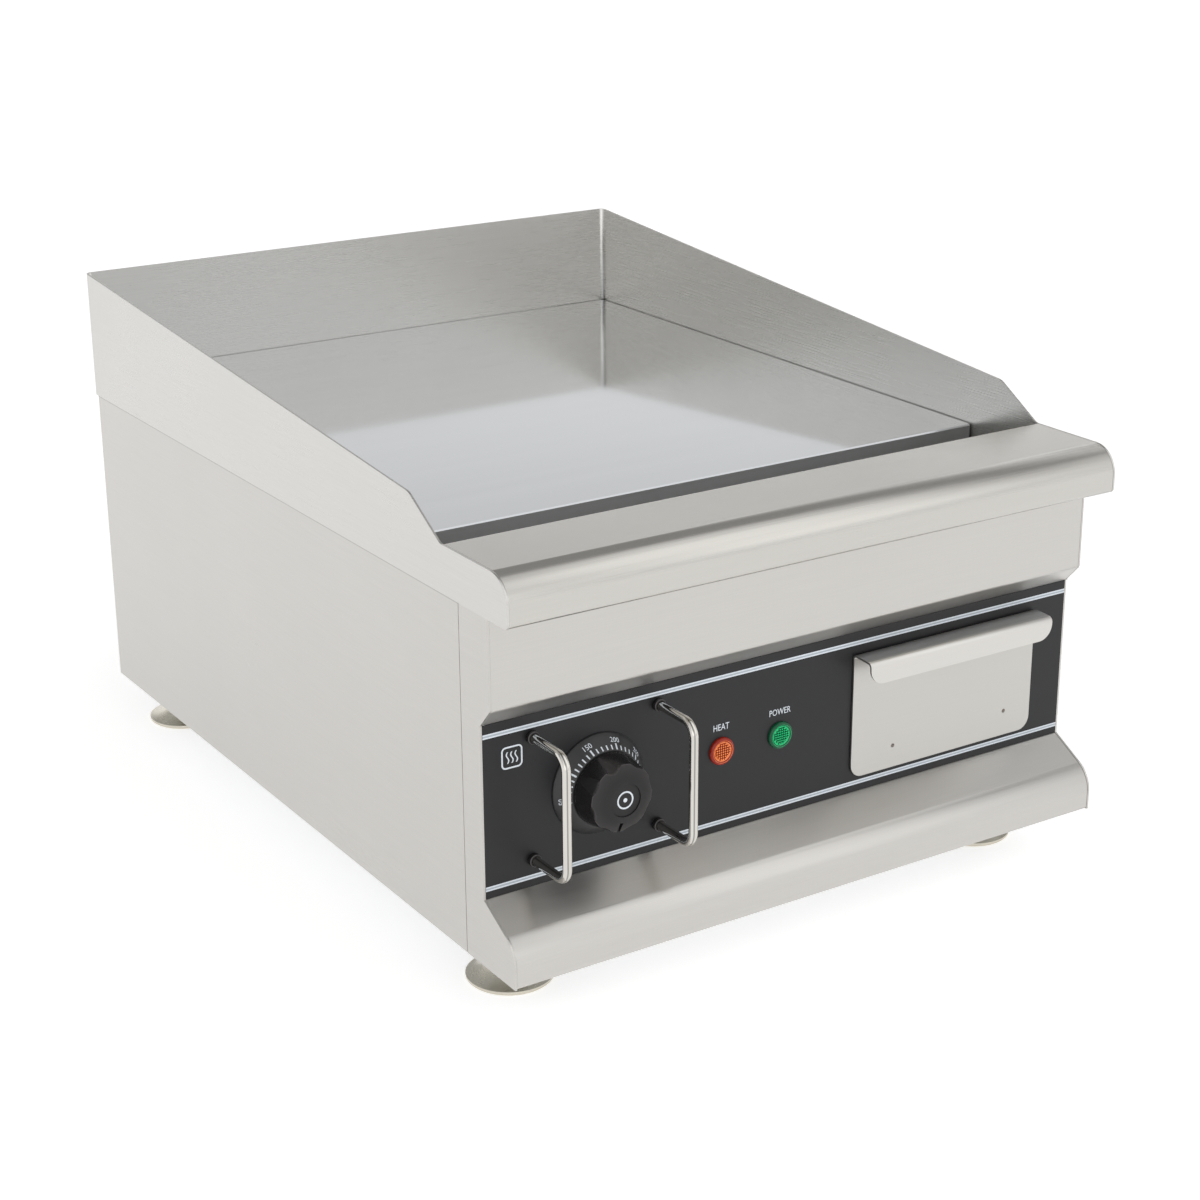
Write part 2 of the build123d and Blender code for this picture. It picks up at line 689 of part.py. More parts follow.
with BuildPart() as grease_trough:
    with BuildSketch(Plane.YZ.offset(-trough_half)):
        with BuildLine():
            FilletPolyline(
                (lip_rear_y, trough_bottom_z),
                (lip_rear_y, trough_top_z),
                (plate_front_y - 0.4, trough_top_z),
                (plate_front_y - 0.4, plate_under_z),
                (trough_rear_y, plate_under_z),
                (trough_rear_y, trough_bottom_z),
                radius=(6.0, 0, 0, 0, 0, 6.0),
                close=True,
            )
        make_face()
    extrude(amount=2 * trough_half)
    with BuildSketch(Plane.YZ.offset(-trough_half + sheet)):
        with BuildLine():
            FilletPolyline(
                (lip_rear_y + sheet, trough_bottom_z + sheet),
                (lip_rear_y + sheet, trough_top_z + 1.0),
                (trough_rear_y - sheet, trough_top_z + 1.0),
                (trough_rear_y - sheet, trough_bottom_z + sheet),
                radius=(4.8, 0, 0, 4.8),
                close=True,
            )
        make_face()
    extrude(amount=2 * (trough_half - sheet), mode=Mode.SUBTRACT)
    with BuildSketch(Plane.XY.offset(trough_end_z)):
        with Locations((0, (lip_rear_y + sheet + plate_front_y) / 2)):
            Rectangle(2 * trough_half, plate_front_y - lip_rear_y - sheet)
    extrude(amount=trough_top_z - trough_end_z, mode=Mode.SUBTRACT)
    with BuildSketch(Plane.XY.offset(trough_bottom_z)):
        with Locations(drain_at):
            Circle(drain_radius)
    extrude(amount=sheet, mode=Mode.SUBTRACT)
grease_trough.part.label = "grease_trough"
export_step(grease_trough.part, "parts/grease_trough.step")

with BuildPart() as drain_chute:
    with BuildSketch(Plane.XY.offset(chute_bottom_z)):
        with Locations(drain_at):
            Circle(drain_radius + sheet)
    extrude(amount=trough_bottom_z - chute_bottom_z)
    with BuildSketch(Plane.XY.offset(trough_bottom_z - sheet)):
        with Locations(drain_at):
            Circle(drain_flange_radius)
    extrude(amount=sheet)
    with BuildSketch(Plane.XY.offset(chute_bottom_z)):
        with Locations(drain_at):
            Circle(drain_radius)
    extrude(amount=trough_bottom_z - chute_bottom_z, mode=Mode.SUBTRACT)
drain_chute.part.label = "drain_chute"
export_step(drain_chute.part, "parts/drain_chute.step")

# ---------------------------------------------------------------- grease drawer
drawer_wall = 1.0
front_gap = 0.4  # between the panel and the closed drawer's front
front_back_y = panel_y - front_gap
front_bottom_z = 79.5
front_top_z = 155.0
flap_y = panel_y - 16.6
flap_bottom_z = 141.0
flap_bend = 3.2
flap_corner = 9.4
front_corner = 8.0

with BuildPart() as drawer_tray:
    with BuildSketch(Plane.XY.offset(drawer_bottom_z)):
        with Locations((drawer_mid_x, front_back_y + drawer_length / 2)):
            Rectangle(drawer_width, drawer_length)
    extrude(amount=drawer_height)
    fillet(drawer_tray.faces().sort_by(Axis.Z)[0].edges(), 3.0)
    offset(amount=-drawer_wall, openings=drawer_tray.faces().sort_by(Axis.Z)[-1])
drawer_tray.part.label = "drawer_tray"
export_step(drawer_tray.part, "parts/drawer_tray.step")

with BuildPart() as drawer_front:
    with BuildSketch(Plane.YZ.offset(front_left_x)):
        with BuildLine():
            FilletPolyline(
                (front_back_y, front_bottom_z),
                (front_back_y, front_top_z),
                (flap_y, front_top_z - 0.8),
                (flap_y, flap_bottom_z),
                radius=(2.5, flap_bend),
            )
            offset(amount=sheet, side=Side.LEFT)
        make_face()
    extrude(amount=front_right_x - front_left_x)
    corner_edges = drawer_front.edges().filter_by(Axis.Y).filter_by(lambda e: abs(e.length - sheet) < 0.01)
    fillet(corner_edges.filter_by_position(Axis.Z, front_bottom_z - 1, front_bottom_z + 1), front_corner)
    fillet(corner_edges.filter_by_position(Axis.Z, flap_bottom_z - 1, flap_bottom_z + 1), flap_corner)
drawer_front.part.label = "drawer_front"
export_step(drawer_front.part, "parts/drawer_front.step")

rail_gap = 0.7
rail_bottom_z = 80.0
rail_top_z = 151.0
rail_length = 338.0
ledge_width = 11.0
tab_width = 12.0
rail_rear_y = panel_back_y + rail_length
for side, side_name in ((-1, "left"), (1, "right")):
    web_x = drawer_mid_x + side * (drawer_width / 2 + rail_gap + sheet / 2)
    with BuildPart() as drawer_rail:
        with Locations((web_x, (panel_back_y + rail_rear_y) / 2, (rail_bottom_z + rail_top_z) / 2)):
            Box(sheet, rail_length, rail_top_z - rail_bottom_z)
        ledge_x = web_x - side * ledge_width / 2
        with Locations((ledge_x, (panel_back_y + rail_rear_y) / 2, drawer_bottom_z - 1.0)):
            Box(ledge_width, rail_length, sheet)
        tab_x = web_x + side * tab_width / 2
        tab_z = (rail_bottom_z + rail_top_z) / 2
        with Locations((tab_x, panel_back_y + sheet / 2, tab_z), (tab_x, rail_rear_y - sheet / 2, tab_z)):
            Box(tab_width, sheet, rail_top_z - rail_bottom_z)
    drawer_rail.part.label = f"drawer_rail_{side_name}"
    export_step(drawer_rail.part, f"parts/drawer_rail_{side_name}.step")

bracket_left_x = 24.0
bracket_width = 168.0
bracket_top_z = 156.0
bracket_foot = 14.0

with BuildPart() as drawer_bracket:
    with BuildSketch(Plane.YZ.offset(bracket_left_x)):
        with BuildLine():
            FilletPolyline(
                (rail_rear_y, bracket_top_z),
                (rail_rear_y, pan_top_z),
                (rail_rear_y + bracket_foot, pan_top_z),
                radius=2.0,
            )
            offset(amount=sheet, side=Side.LEFT)
        make_face()
    extrude(amount=bracket_width)
drawer_bracket.part.label = "drawer_bracket"
export_step(drawer_bracket.part, "parts/drawer_bracket.step")

# ---------------------------------------------------------------- heating
shield_half = 176.0
shield_front_y = -142.0
shield_rear_y = 246.0
shield_bottom_z = 203.8
shield_top_z = 218.0
board_gap = 0.2  # round the insulation board
board_thickness = 6.0
element_end_z = 192.0  # the elements' sheaths end here, and their pins go on
pin_radius = 2.0
pin_length = 12.0
bend_at_end = 14.0
bend_at_rear = 22.0
leg_hole = 7.0
bolt_head_hole = 8.5
clamp_thickness = 2.9
clamp_top_z = element_z - element_radius - 0.1
clamp_bottom_z = clamp_top_z - clamp_thickness
clamp_length = 340.0
clamp_width = 20.0
clamp_head_height = 4.0
clamp_bolt_grip = 7.0  # the bolts reach this far into the plate

for side_name, element_x in element_xs.items():
    with BuildPart() as heating_element:
        add(
            tube_along(
                [
                    (element_x - element_half, element_front_y, element_end_z),
                    (element_x - element_half, element_front_y, element_z),
                    (element_x - element_half, element_rear_y, element_z),
                    (element_x + element_half, element_rear_y, element_z),
                    (element_x + element_half, element_front_y, element_z),
                    (element_x + element_half, element_front_y, element_end_z),
                ],
                (bend_at_end, bend_at_rear, bend_at_rear, bend_at_end),
                element_radius,
            )
        )
        with BuildSketch(Plane.XY.offset(element_end_z)):
            with Locations(
                (element_x - element_half, element_front_y),
                (element_x + element_half, element_front_y),
            ):
                Circle(pin_radius)
        extrude(amount=-pin_length)
    heating_element.part.label = f"heating_element_{side_name}"
    export_step(heating_element.part, f"parts/heating_element_{side_name}.step")

with BuildPart() as element_clamps:
    with BuildSketch(Plane.XY.offset(clamp_bottom_z)):
        with Locations(*[(0, y) for y in bolt_ys]):
            Rectangle(clamp_length, clamp_width)
        with Locations(*bolt_points):
            Circle(bolt_radius + clear_gap, mode=Mode.SUBTRACT)
    extrude(amount=clamp_thickness)
element_clamps.part.label = "element_clamps"
export_step(element_clamps.part, "parts/element_clamps.step")

with BuildPart() as clamp_bolts:
    with BuildSketch(Plane.XY.offset(clamp_bottom_z - clamp_head_height)):
        with Locations(*bolt_points):
            RegularPolygon(5.0, 6, major_radius=False)
    extrude(amount=clamp_head_height)
    with BuildSketch(Plane.XY.offset(clamp_bottom_z)):
        with Locations(*bolt_points):
            Circle(bolt_radius)
    extrude(amount=plate_under_z + clamp_bolt_grip - clamp_bottom_z)
clamp_bolts.part.label = "clamp_bolts"
export_step(clamp_bolts.part, "parts/clamp_bolts.step")

with BuildPart() as insulation_board:
    with BuildSketch(Plane.XY.offset(shield_bottom_z + sheet)):
        with Locations((0, (shield_front_y + shield_rear_y) / 2)):
            Rectangle(
                2 * (shield_half - sheet - board_gap),
                shield_rear_y - shield_front_y - 2 * (sheet + board_gap),
            )
        with Locations(*leg_points):
            Circle(leg_hole, mode=Mode.SUBTRACT)
        with Locations(*bolt_points):
            Circle(bolt_head_hole, mode=Mode.SUBTRACT)
    extrude(amount=board_thickness)
insulation_board.part.label = "insulation_board"
export_step(insulation_board.part, "parts/insulation_board.step")

with BuildPart() as heat_shield:
    with BuildSketch(Plane.XY.offset(shield_bottom_z)):
        with Locations((0, (shield_front_y + shield_rear_y) / 2)):
            Rectangle(2 * shield_half, shield_rear_y - shield_front_y)
    extrude(amount=shield_top_z - shield_bottom_z)
    offset(amount=-sheet, openings=heat_shield.faces().sort_by(Axis.Z)[-1])
    with BuildSketch(Plane.XY.offset(shield_bottom_z)):
        with Locations(*leg_points):
            Circle(leg_hole)
    extrude(amount=sheet, mode=Mode.SUBTRACT)
heat_shield.part.label = "heat_shield"
export_step(heat_shield.part, "parts/heat_shield.step")

bulb_radius = 3.2
thermostat_bulb_ys = (-50.0, 50.0)
limiter_bulb_ys = (75.0, 165.0)
bulb_z = plate_under_z - bulb_radius - 0.2
capillary_radius = 0.9
drop_y = (trough_rear_y + shield_front_y) / 2  # capillaries pass between trough and shield

with BuildPart() as thermostat_bulb:
    with BuildSketch(facing_back(0, thermostat_bulb_ys[0], bulb_z)):
        Circle(bulb_radius)
    extrude(amount=thermostat_bulb_ys[1] - thermostat_bulb_ys[0])
    add(
        tube_along(
            [
                (0, thermostat_bulb_ys[0], bulb_z),
                (0, drop_y, bulb_z),
                (0, drop_y, 160.0),
                (knob_x, drop_y, 150.0),
                (knob_x, drop_y, cell_z),
                (knob_x, thermostat_rear_y + cell_height, cell_z),
            ],
            6.0,
            capillary_radius,
        )
    )
thermostat_bulb.part.label = "thermostat_bulb"
export_step(thermostat_bulb.part, "parts/thermostat_bulb.step")

# ---------------------------------------------------------------- supply, limiter and wiring
panel_inside_y = rear_y - sheet
limiter_depth = 32.0
limiter_front_y = panel_inside_y - limiter_depth
button_out_y = rear_y + 3.0
button_in_y = panel_inside_y - 11.0
button_travel = 2.0
limiter_x, limiter_z = reset_at
limiter_width = 40.0
limiter_height = 32.0
limiter_bulb_x = -47.0

with BuildPart() as safety_limiter:
    with BuildSketch(facing_front(limiter_x, panel_inside_y, limiter_z)):
        RectangleRounded(limiter_width, limiter_height, 3.0)
    extrude(amount=limiter_depth)
    with BuildSketch(facing_front(limiter_x, panel_inside_y, limiter_z)):
        Circle(button_radius + running_gap)
    extrude(amount=panel_inside_y - button_in_y + button_travel + 0.5, mode=Mode.SUBTRACT)
safety_limiter.part.label = "safety_limiter"
export_step(safety_limiter.part, "parts/safety_limiter.step")

with BuildPart() as reset_button:
    with BuildSketch(facing_back(limiter_x, button_in_y, limiter_z)):
        Circle(button_radius)
    extrude(amount=button_out_y - button_in_y)
    fillet(reset_button.faces().sort_by(Axis.Y)[-1].edges(), 0.8)
reset_button.part.label = "reset_button"
export_step(reset_button.part, "parts/reset_button.step")

with BuildPart() as limiter_bulb:
    with BuildSketch(facing_back(limiter_bulb_x, limiter_bulb_ys[0], bulb_z)):
        Circle(bulb_radius)
    extrude(amount=limiter_bulb_ys[1] - limiter_bulb_ys[0])
    add(
        tube_along(
            [
                (limiter_bulb_x, limiter_bulb_ys[1], bulb_z),
                (limiter_bulb_x, 249.5, bulb_z),
                (limiter_bulb_x, 249.5, 130.0),
                (limiter_x, 240.0, 115.0),
                (limiter_x, 240.0, limiter_z + limiter_height / 2),
            ],
            6.0,
            capillary_radius,
        )
    )
limiter_bulb.part.label = "limiter_bulb"
export_step(limiter_bulb.part, "parts/limiter_bulb.step")

block_x, block_y = (-120.0, 190.0)
block_height = 22.0
block_length = 60.0
block_width = 30.0
well_depth = 8.0  # wells with a clamping screw in each
well_radius = 3.0
with BuildPart() as terminal_block:
    with BuildSketch(Plane.XY.offset(pan_top_z)):
        with Locations((block_x, block_y)):
            Rectangle(block_length, block_width)
    extrude(amount=block_height)
    with BuildSketch(Plane.XY.offset(pan_top_z + block_height)):
        with Locations((block_x, block_y)):
            with GridLocations(15.0, 16.0, 4, 2):
                Circle(well_radius)
    extrude(amount=-well_depth, mode=Mode.SUBTRACT)
    with BuildSketch(Plane.XY.offset(pan_top_z + block_height - well_depth)):
        with Locations((block_x, block_y)):
            with GridLocations(15.0, 16.0, 4, 2):
                Circle(2.6)
    extrude(amount=5.0)
terminal_block.part.label = "terminal_block"
export_step(terminal_block.part, "parts/terminal_block.step")

gland_x, gland_z = gland_at
gland_bore = 6.0
gland_hex = 12.0  # half the width across flats
neck_radius = 9.4
neck_end_y = rear_y + 12.0
gland_end_y = overall_depth / 2
thread_length = 10.0  # inside the rear panel
collar_height = 6.0  # hexagon outside it

with BuildPart() as gland_body:
    with BuildSketch(facing_back(gland_x, rear_y - thread_length, gland_z)):
        Circle(gland_radius)
    extrude(amount=thread_length)
    with BuildSketch(facing_back(gland_x, rear_y, gland_z)):
        RegularPolygon(gland_hex, 6, major_radius=False)
    extrude(amount=collar_height)
    with BuildSketch(facing_back(gland_x, rear_y, gland_z)):
        Circle(neck_radius)
    extrude(amount=neck_end_y - rear_y)
    with BuildSketch(facing_back(gland_x, rear_y - thread_length, gland_z)):
        Circle(gland_bore)
    extrude(amount=neck_end_y - rear_y + thread_length, mode=Mode.SUBTRACT)
gland_body.part.label = "gland_body"
export_step(gland_body.part, "parts/gland_body.step")

with BuildPart() as gland_locknut:
    with BuildSketch(facing_front(gland_x, panel_inside_y, gland_z)):
        RegularPolygon(gland_hex + 1.0, 6, major_radius=False)
        Circle(gland_radius + running_gap, mode=Mode.SUBTRACT)
    extrude(amount=5.0)
gland_locknut.part.label = "gland_locknut"
export_step(gland_locknut.part, "parts/gland_locknut.step")

cap_start_y = rear_y + collar_height + 0.4
cap_outer_radius = 14.0
with BuildPart() as gland_cap:
    with BuildSketch(facing_back(gland_x, cap_start_y, gland_z)):
        RegularPolygon(gland_hex, 6, major_radius=False)
    extrude(amount=gland_end_y - cap_start_y)
    with BuildSketch(Plane.YZ.offset(gland_x)) as cap_turning:
        with BuildLine():
            FilletPolyline(
                (cap_start_y, gland_z),
                (cap_start_y, gland_z + cap_outer_radius),
                (cap_start_y + 9.0, gland_z + cap_outer_radius),
                (gland_end_y - 5.0, gland_z + 11.6),
                (gland_end_y, gland_z + 8.0),
                (gland_end_y, gland_z),
                radius=(0, 0, 3.0, 0),
            )
            Line((gland_end_y, gland_z), (cap_start_y, gland_z))
        make_face()
    revolve(axis=Axis((gland_x, 0, gland_z), (0, 1, 0)), mode=Mode.INTERSECT)
    with BuildSketch(facing_back(gland_x, cap_start_y, gland_z)):
        Circle(neck_radius + running_gap)
    extrude(amount=gland_end_y - 3.0 - cap_start_y, mode=Mode.SUBTRACT)
    with BuildSketch(facing_back(gland_x, cap_start_y, gland_z)):
        Circle(gland_bore + 0.3)
    extrude(amount=gland_end_y - cap_start_y, mode=Mode.SUBTRACT)
gland_cap.part.label = "gland_cap"
export_step(gland_cap.part, "parts/gland_cap.step")

with BuildPart() as gland_seal:
    with BuildSketch(facing_back(gland_x, neck_end_y, gland_z)):
        Circle(neck_radius)
        Circle(gland_bore, mode=Mode.SUBTRACT)
    extrude(amount=gland_end_y - 3.0 - neck_end_y)
gland_seal.part.label = "gland_seal"
export_step(gland_seal.part, "parts/gland_seal.step")

earth_x, earth_z = earth_at
earth_length = 24.0
earth_inside = 10.0  # of that, inside the rear panel's outer face
washer_radius = 6.0
washer_height = 1.2
earth_nut_height = 4.8
with BuildPart() as earth_stud:
    with BuildSketch(facing_back(earth_x, rear_y - earth_inside, earth_z)):
        Circle(earth_radius)
    extrude(amount=earth_length)
    with BuildSketch(facing_back(earth_x, rear_y, earth_z)):
        Circle(washer_radius)
    extrude(amount=washer_height)
    with BuildSketch(facing_back(earth_x, rear_y + washer_height, earth_z)):
        RegularPolygon(5.0, 6, major_radius=False)
    extrude(amount=earth_nut_height)
    with BuildSketch(facing_front(earth_x, panel_inside_y, earth_z)):
        RegularPolygon(5.0, 6, major_radius=False)
    extrude(amount=earth_nut_height)
earth_stud.part.label = "earth_stud"
export_step(earth_stud.part, "parts/earth_stud.step")

wire_radius = 1.6
wire_z = 44.0
tab_z = knob_z - tab_drop
tab_end_y = thermostat_rear_y + tab_length
first_leg_x = element_xs["left"] - element_half
second_leg_x = element_xs["left"] + element_half
wire_routes = [
    # terminal block to limiter
    [
        (block_x + block_length / 2, block_y, wire_z),
        (-60.0, block_y, wire_z),
        (limiter_x - 8.0, 195.0, limiter_z),
        (limiter_x - 8.0, limiter_front_y, limiter_z),
    ],
    # limiter to thermostat
    [
        (limiter_x + limiter_width / 2, 240.0, limiter_z),
        (12.0, 240.0, limiter_z),
        (12.0, 130.0, wire_z),
        (-60.0, -30.0, wire_z),
        (knob_x + tab_pitch / 2, -140.0, 70.0),
        (knob_x + tab_pitch / 2, -170.0, tab_z),
        (knob_x + tab_pitch / 2, tab_end_y, tab_z),
    ],
    # thermostat to the first heating element
    [
        (knob_x - 1.5 * tab_pitch, tab_end_y, tab_z),
        (knob_x - 1.5 * tab_pitch, -175.0, tab_z),
        (first_leg_x, -150.0, 150.0),
        (first_leg_x, element_front_y, 165.0),
        (first_leg_x, element_front_y, element_end_z - pin_length),
    ],
    # neutral, from the terminal block to the first heating element
    [
        (block_x, block_y - block_width / 2, wire_z),
        (block_x, 110.0, wire_z),
        (second_leg_x, -20.0, 90.0),
        (second_leg_x, element_front_y, 150.0),
        (second_leg_x, element_front_y, element_end_z - pin_length),
    ],
]
with BuildPart() as wiring_loom:
    for route_points in wire_routes:
        add(tube_along(route_points, 6.0, wire_radius))
wiring_loom.part.label = "wiring_loom"
export_step(wiring_loom.part, "parts/wiring_loom.step")

# ---------------------------------------------------------------- feet
foot_radius = 24.5
foot_rim_z = 2.6  # top of the foot's straight rim
hub_radius = 8.6
hub_start_z = 15.0
socket_radius = 11.0
socket_height = 10.0
locknut_height = 6.0
foot_hub_top_z = body_bottom - locknut_height - 0.5
stud_top_z = 58.0
foot_points = [(s * foot_x, y) for s in (-1, 1) for y in foot_ys.values()]

for row_name, foot_y in foot_ys.items():
    for side, side_name in ((-1, "left"), (1, "right")):
        foot_axis = Plane(origin=(side * foot_x, foot_y, 0), x_dir=(1, 0, 0), z_dir=(0, -1, 0))
        with BuildPart() as foot:
            with BuildSketch(foot_axis):
                with BuildLine():
                    Polyline((0, 0), (foot_radius - 1.0, 0), (foot_radius, 1.0), (foot_radius, foot_rim_z))
                    ThreePointArc((foot_radius, foot_rim_z), (15.5, 6.6), (hub_radius, hub_start_z))
                    Polyline(
                        (hub_radius, hub_start_z),
                        (hub_radius, foot_hub_top_z),
                        (stud_radius, foot_hub_top_z),
                        (stud_radius, stud_top_z),
                        (0, stud_top_z),
                        (0, 0),
                    )
                make_face()
            revolve(axis=Axis((side * foot_x, foot_y, 0), (0, 0, 1)))
        foot.part.label = f"foot_{row_name}_{side_name}"
        export_step(foot.part, f"parts/foot_{row_name}_{side_name}.step")

with BuildPart() as foot_locknuts:
    with BuildSketch(Plane.XY.offset(body_bottom - locknut_height)):
        with Locations(*foot_points):
            RegularPolygon(8.5, 6, major_radius=False)
            Circle(stud_gap, mode=Mode.SUBTRACT)
    extrude(amount=locknut_height)
foot_locknuts.part.label = "foot_locknuts"
export_step(foot_locknuts.part, "parts/foot_locknuts.step")

with BuildPart() as foot_sockets:
    with BuildSketch(Plane.XY.offset(pan_top_z)):
        with Locations(*foot_points):
            Circle(socket_radius)
            Circle(stud_gap, mode=Mode.SUBTRACT)
    extrude(amount=socket_height)
foot_sockets.part.label = "foot_sockets"
export_step(foot_sockets.part, "parts/foot_sockets.step")
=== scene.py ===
import json
import math

import bmesh
import bpy
from mathutils import Euler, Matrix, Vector


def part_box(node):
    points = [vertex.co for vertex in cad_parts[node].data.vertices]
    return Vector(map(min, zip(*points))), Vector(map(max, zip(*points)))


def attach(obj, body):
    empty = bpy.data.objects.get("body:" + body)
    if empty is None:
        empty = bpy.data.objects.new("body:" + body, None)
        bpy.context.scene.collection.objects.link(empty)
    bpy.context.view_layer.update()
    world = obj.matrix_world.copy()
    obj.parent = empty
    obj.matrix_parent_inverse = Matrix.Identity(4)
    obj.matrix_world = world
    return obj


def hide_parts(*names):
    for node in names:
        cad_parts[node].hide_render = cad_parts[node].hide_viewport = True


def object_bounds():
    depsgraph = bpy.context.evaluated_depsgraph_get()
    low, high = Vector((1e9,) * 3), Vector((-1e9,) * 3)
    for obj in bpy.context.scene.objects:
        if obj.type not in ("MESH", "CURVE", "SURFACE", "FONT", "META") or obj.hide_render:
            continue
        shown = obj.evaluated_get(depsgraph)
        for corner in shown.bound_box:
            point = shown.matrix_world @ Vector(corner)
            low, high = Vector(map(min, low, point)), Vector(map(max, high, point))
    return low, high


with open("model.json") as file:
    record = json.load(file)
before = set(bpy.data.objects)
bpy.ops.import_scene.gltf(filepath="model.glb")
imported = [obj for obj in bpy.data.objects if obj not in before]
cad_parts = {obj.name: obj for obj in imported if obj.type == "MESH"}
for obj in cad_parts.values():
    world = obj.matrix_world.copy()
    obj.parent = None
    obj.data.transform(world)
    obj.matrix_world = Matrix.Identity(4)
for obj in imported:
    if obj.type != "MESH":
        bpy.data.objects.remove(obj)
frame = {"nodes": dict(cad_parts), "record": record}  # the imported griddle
cad_low, cad_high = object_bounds()

# Everything is in metres, in the griddle's own frame: +X to the user's right, +Y to the back, +Z up.
MM = 0.001
NODES = frame["nodes"]
SLOT_OF = {part["node"]: part["material_slot"] for part in frame["record"]["subparts"]}

# ---------------------------------------------------------------- places read from the frame
PANEL_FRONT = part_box("panel_overlay")[0].y
PANEL_LOW, PANEL_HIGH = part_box("panel_overlay")
DIAL_LOW, DIAL_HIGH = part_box("dial_plate")
DIAL_CENTRE = (DIAL_LOW + DIAL_HIGH) / 2
DIAL_RADIUS = (DIAL_HIGH.x - DIAL_LOW.x) / 2
DIAL_RIM = 1.0 * MM  # straight edge of the dial's cone
DIAL_TOP_RADIUS = 21.3 * MM
PRINT_THICKNESS = 0.05 * MM
PRINT_SUNK = 0.03 * MM  # the ink's back lies this far inside what it is printed on


# ---------------------------------------------------------------- material helpers
def new_material(name):
    """A node material with one Principled shader; returns the material, its tree and the shader."""
    material = bpy.data.materials.new(name)
    material.use_nodes = True
    tree = material.node_tree
    tree.nodes.clear()
    shader = tree.nodes.new("ShaderNodeBsdfPrincipled")
    output = tree.nodes.new("ShaderNodeOutputMaterial")
    tree.links.new(shader.outputs["BSDF"], output.inputs["Surface"])
    return material, tree, shader


def coordinates(tree, stretch=(1.0, 1.0, 1.0)):
    """Object coordinates, scaled by a different factor along each axis."""
    source = tree.nodes.new("ShaderNodeTexCoord")
    mapping = tree.nodes.new("ShaderNodeMapping")
    mapping.inputs["Scale"].default_value = stretch
    tree.links.new(source.outputs["Object"], mapping.inputs["Vector"])
    return mapping.outputs["Vector"]


def component(tree, output, axis):
    """One axis of the object's own coordinates ("Object") or of its own normals ("Normal")."""
    source = tree.nodes.new("ShaderNodeTexCoord")
    axes = tree.nodes.new("ShaderNodeSeparateXYZ")
    tree.links.new(source.outputs[output], axes.inputs["Vector"])
    return axes.outputs[axis]


def noise(tree, scale, detail=2.0, stretch=(1.0, 1.0, 1.0), roughness=0.5):
    """A noise value from 0 to 1; scale is in cells per metre."""
    texture = tree.nodes.new("ShaderNodeTexNoise")
    texture.inputs["Scale"].default_value = scale
    texture.inputs["Detail"].default_value = detail
    texture.inputs["Roughness"].default_value = roughness
    tree.links.new(coordinates(tree, stretch), texture.inputs["Vector"])
    return texture.outputs["Fac"]


def span(tree, value, to_low, to_high, from_low=0.3, from_high=0.7):
    """Maps a value's range to another."""
    node = tree.nodes.new("ShaderNodeMapRange")
    node.inputs["From Min"].default_value = from_low
    node.inputs["From Max"].default_value = from_high
    node.inputs["To Min"].default_value = to_low
    node.inputs["To Max"].default_value = to_high
    tree.links.new(value, node.inputs["Value"])
    return node.outputs["Result"]


def math_node(tree, operation, a, b):
    """One arithmetic step on two values; either may be a number."""
    node = tree.nodes.new("ShaderNodeMath")
    node.operation = operation
    for socket, value in zip(node.inputs, (a, b)):
        if isinstance(value, (int, float)):
            socket.default_value = value
        else:
            tree.links.new(value, socket)
    return node.outputs["Value"]


def blend_colour(tree, factor, first, second, blend_type="MIX"):
    """Mixes two colours by a factor; a colour is three numbers or another node's output."""
    node = tree.nodes.new("ShaderNodeMix")
    node.data_type = "RGBA"
    node.blend_type = blend_type
    tree.links.new(factor, node.inputs["Factor"])
    for socket, colour in ((node.inputs["A"], first), (node.inputs["B"], second)):
        if isinstance(colour, tuple):
            socket.default_value = (*colour, 1.0)
        else:
            tree.links.new(colour, socket)
    return node.outputs["Result"]


def shaded(colour, factor):
    return tuple(channel * factor for channel in colour)


def bump(tree, shader, height, distance, strength=1.0):
    """Adds a bump of a real height, in metres, on top of any bump that is already there."""
    node = tree.nodes.new("ShaderNodeBump")
    node.inputs["Strength"].default_value = strength
    node.inputs["Distance"].default_value = distance
    tree.links.new(height, node.inputs["Height"])
    if shader.inputs["Normal"].is_linked:
        tree.links.new(shader.inputs["Normal"].links[0].from_socket, node.inputs["Normal"])
    tree.links.new(node.outputs["Normal"], shader.inputs["Normal"])


# ---------------------------------------------------------------- materials
ACROSS = (24.0, 24.0, 2400.0)  # grain of upright sheets: long level strokes
ALONG_X = (24.0, 2400.0, 2400.0)  # grain of pieces brushed from left to right


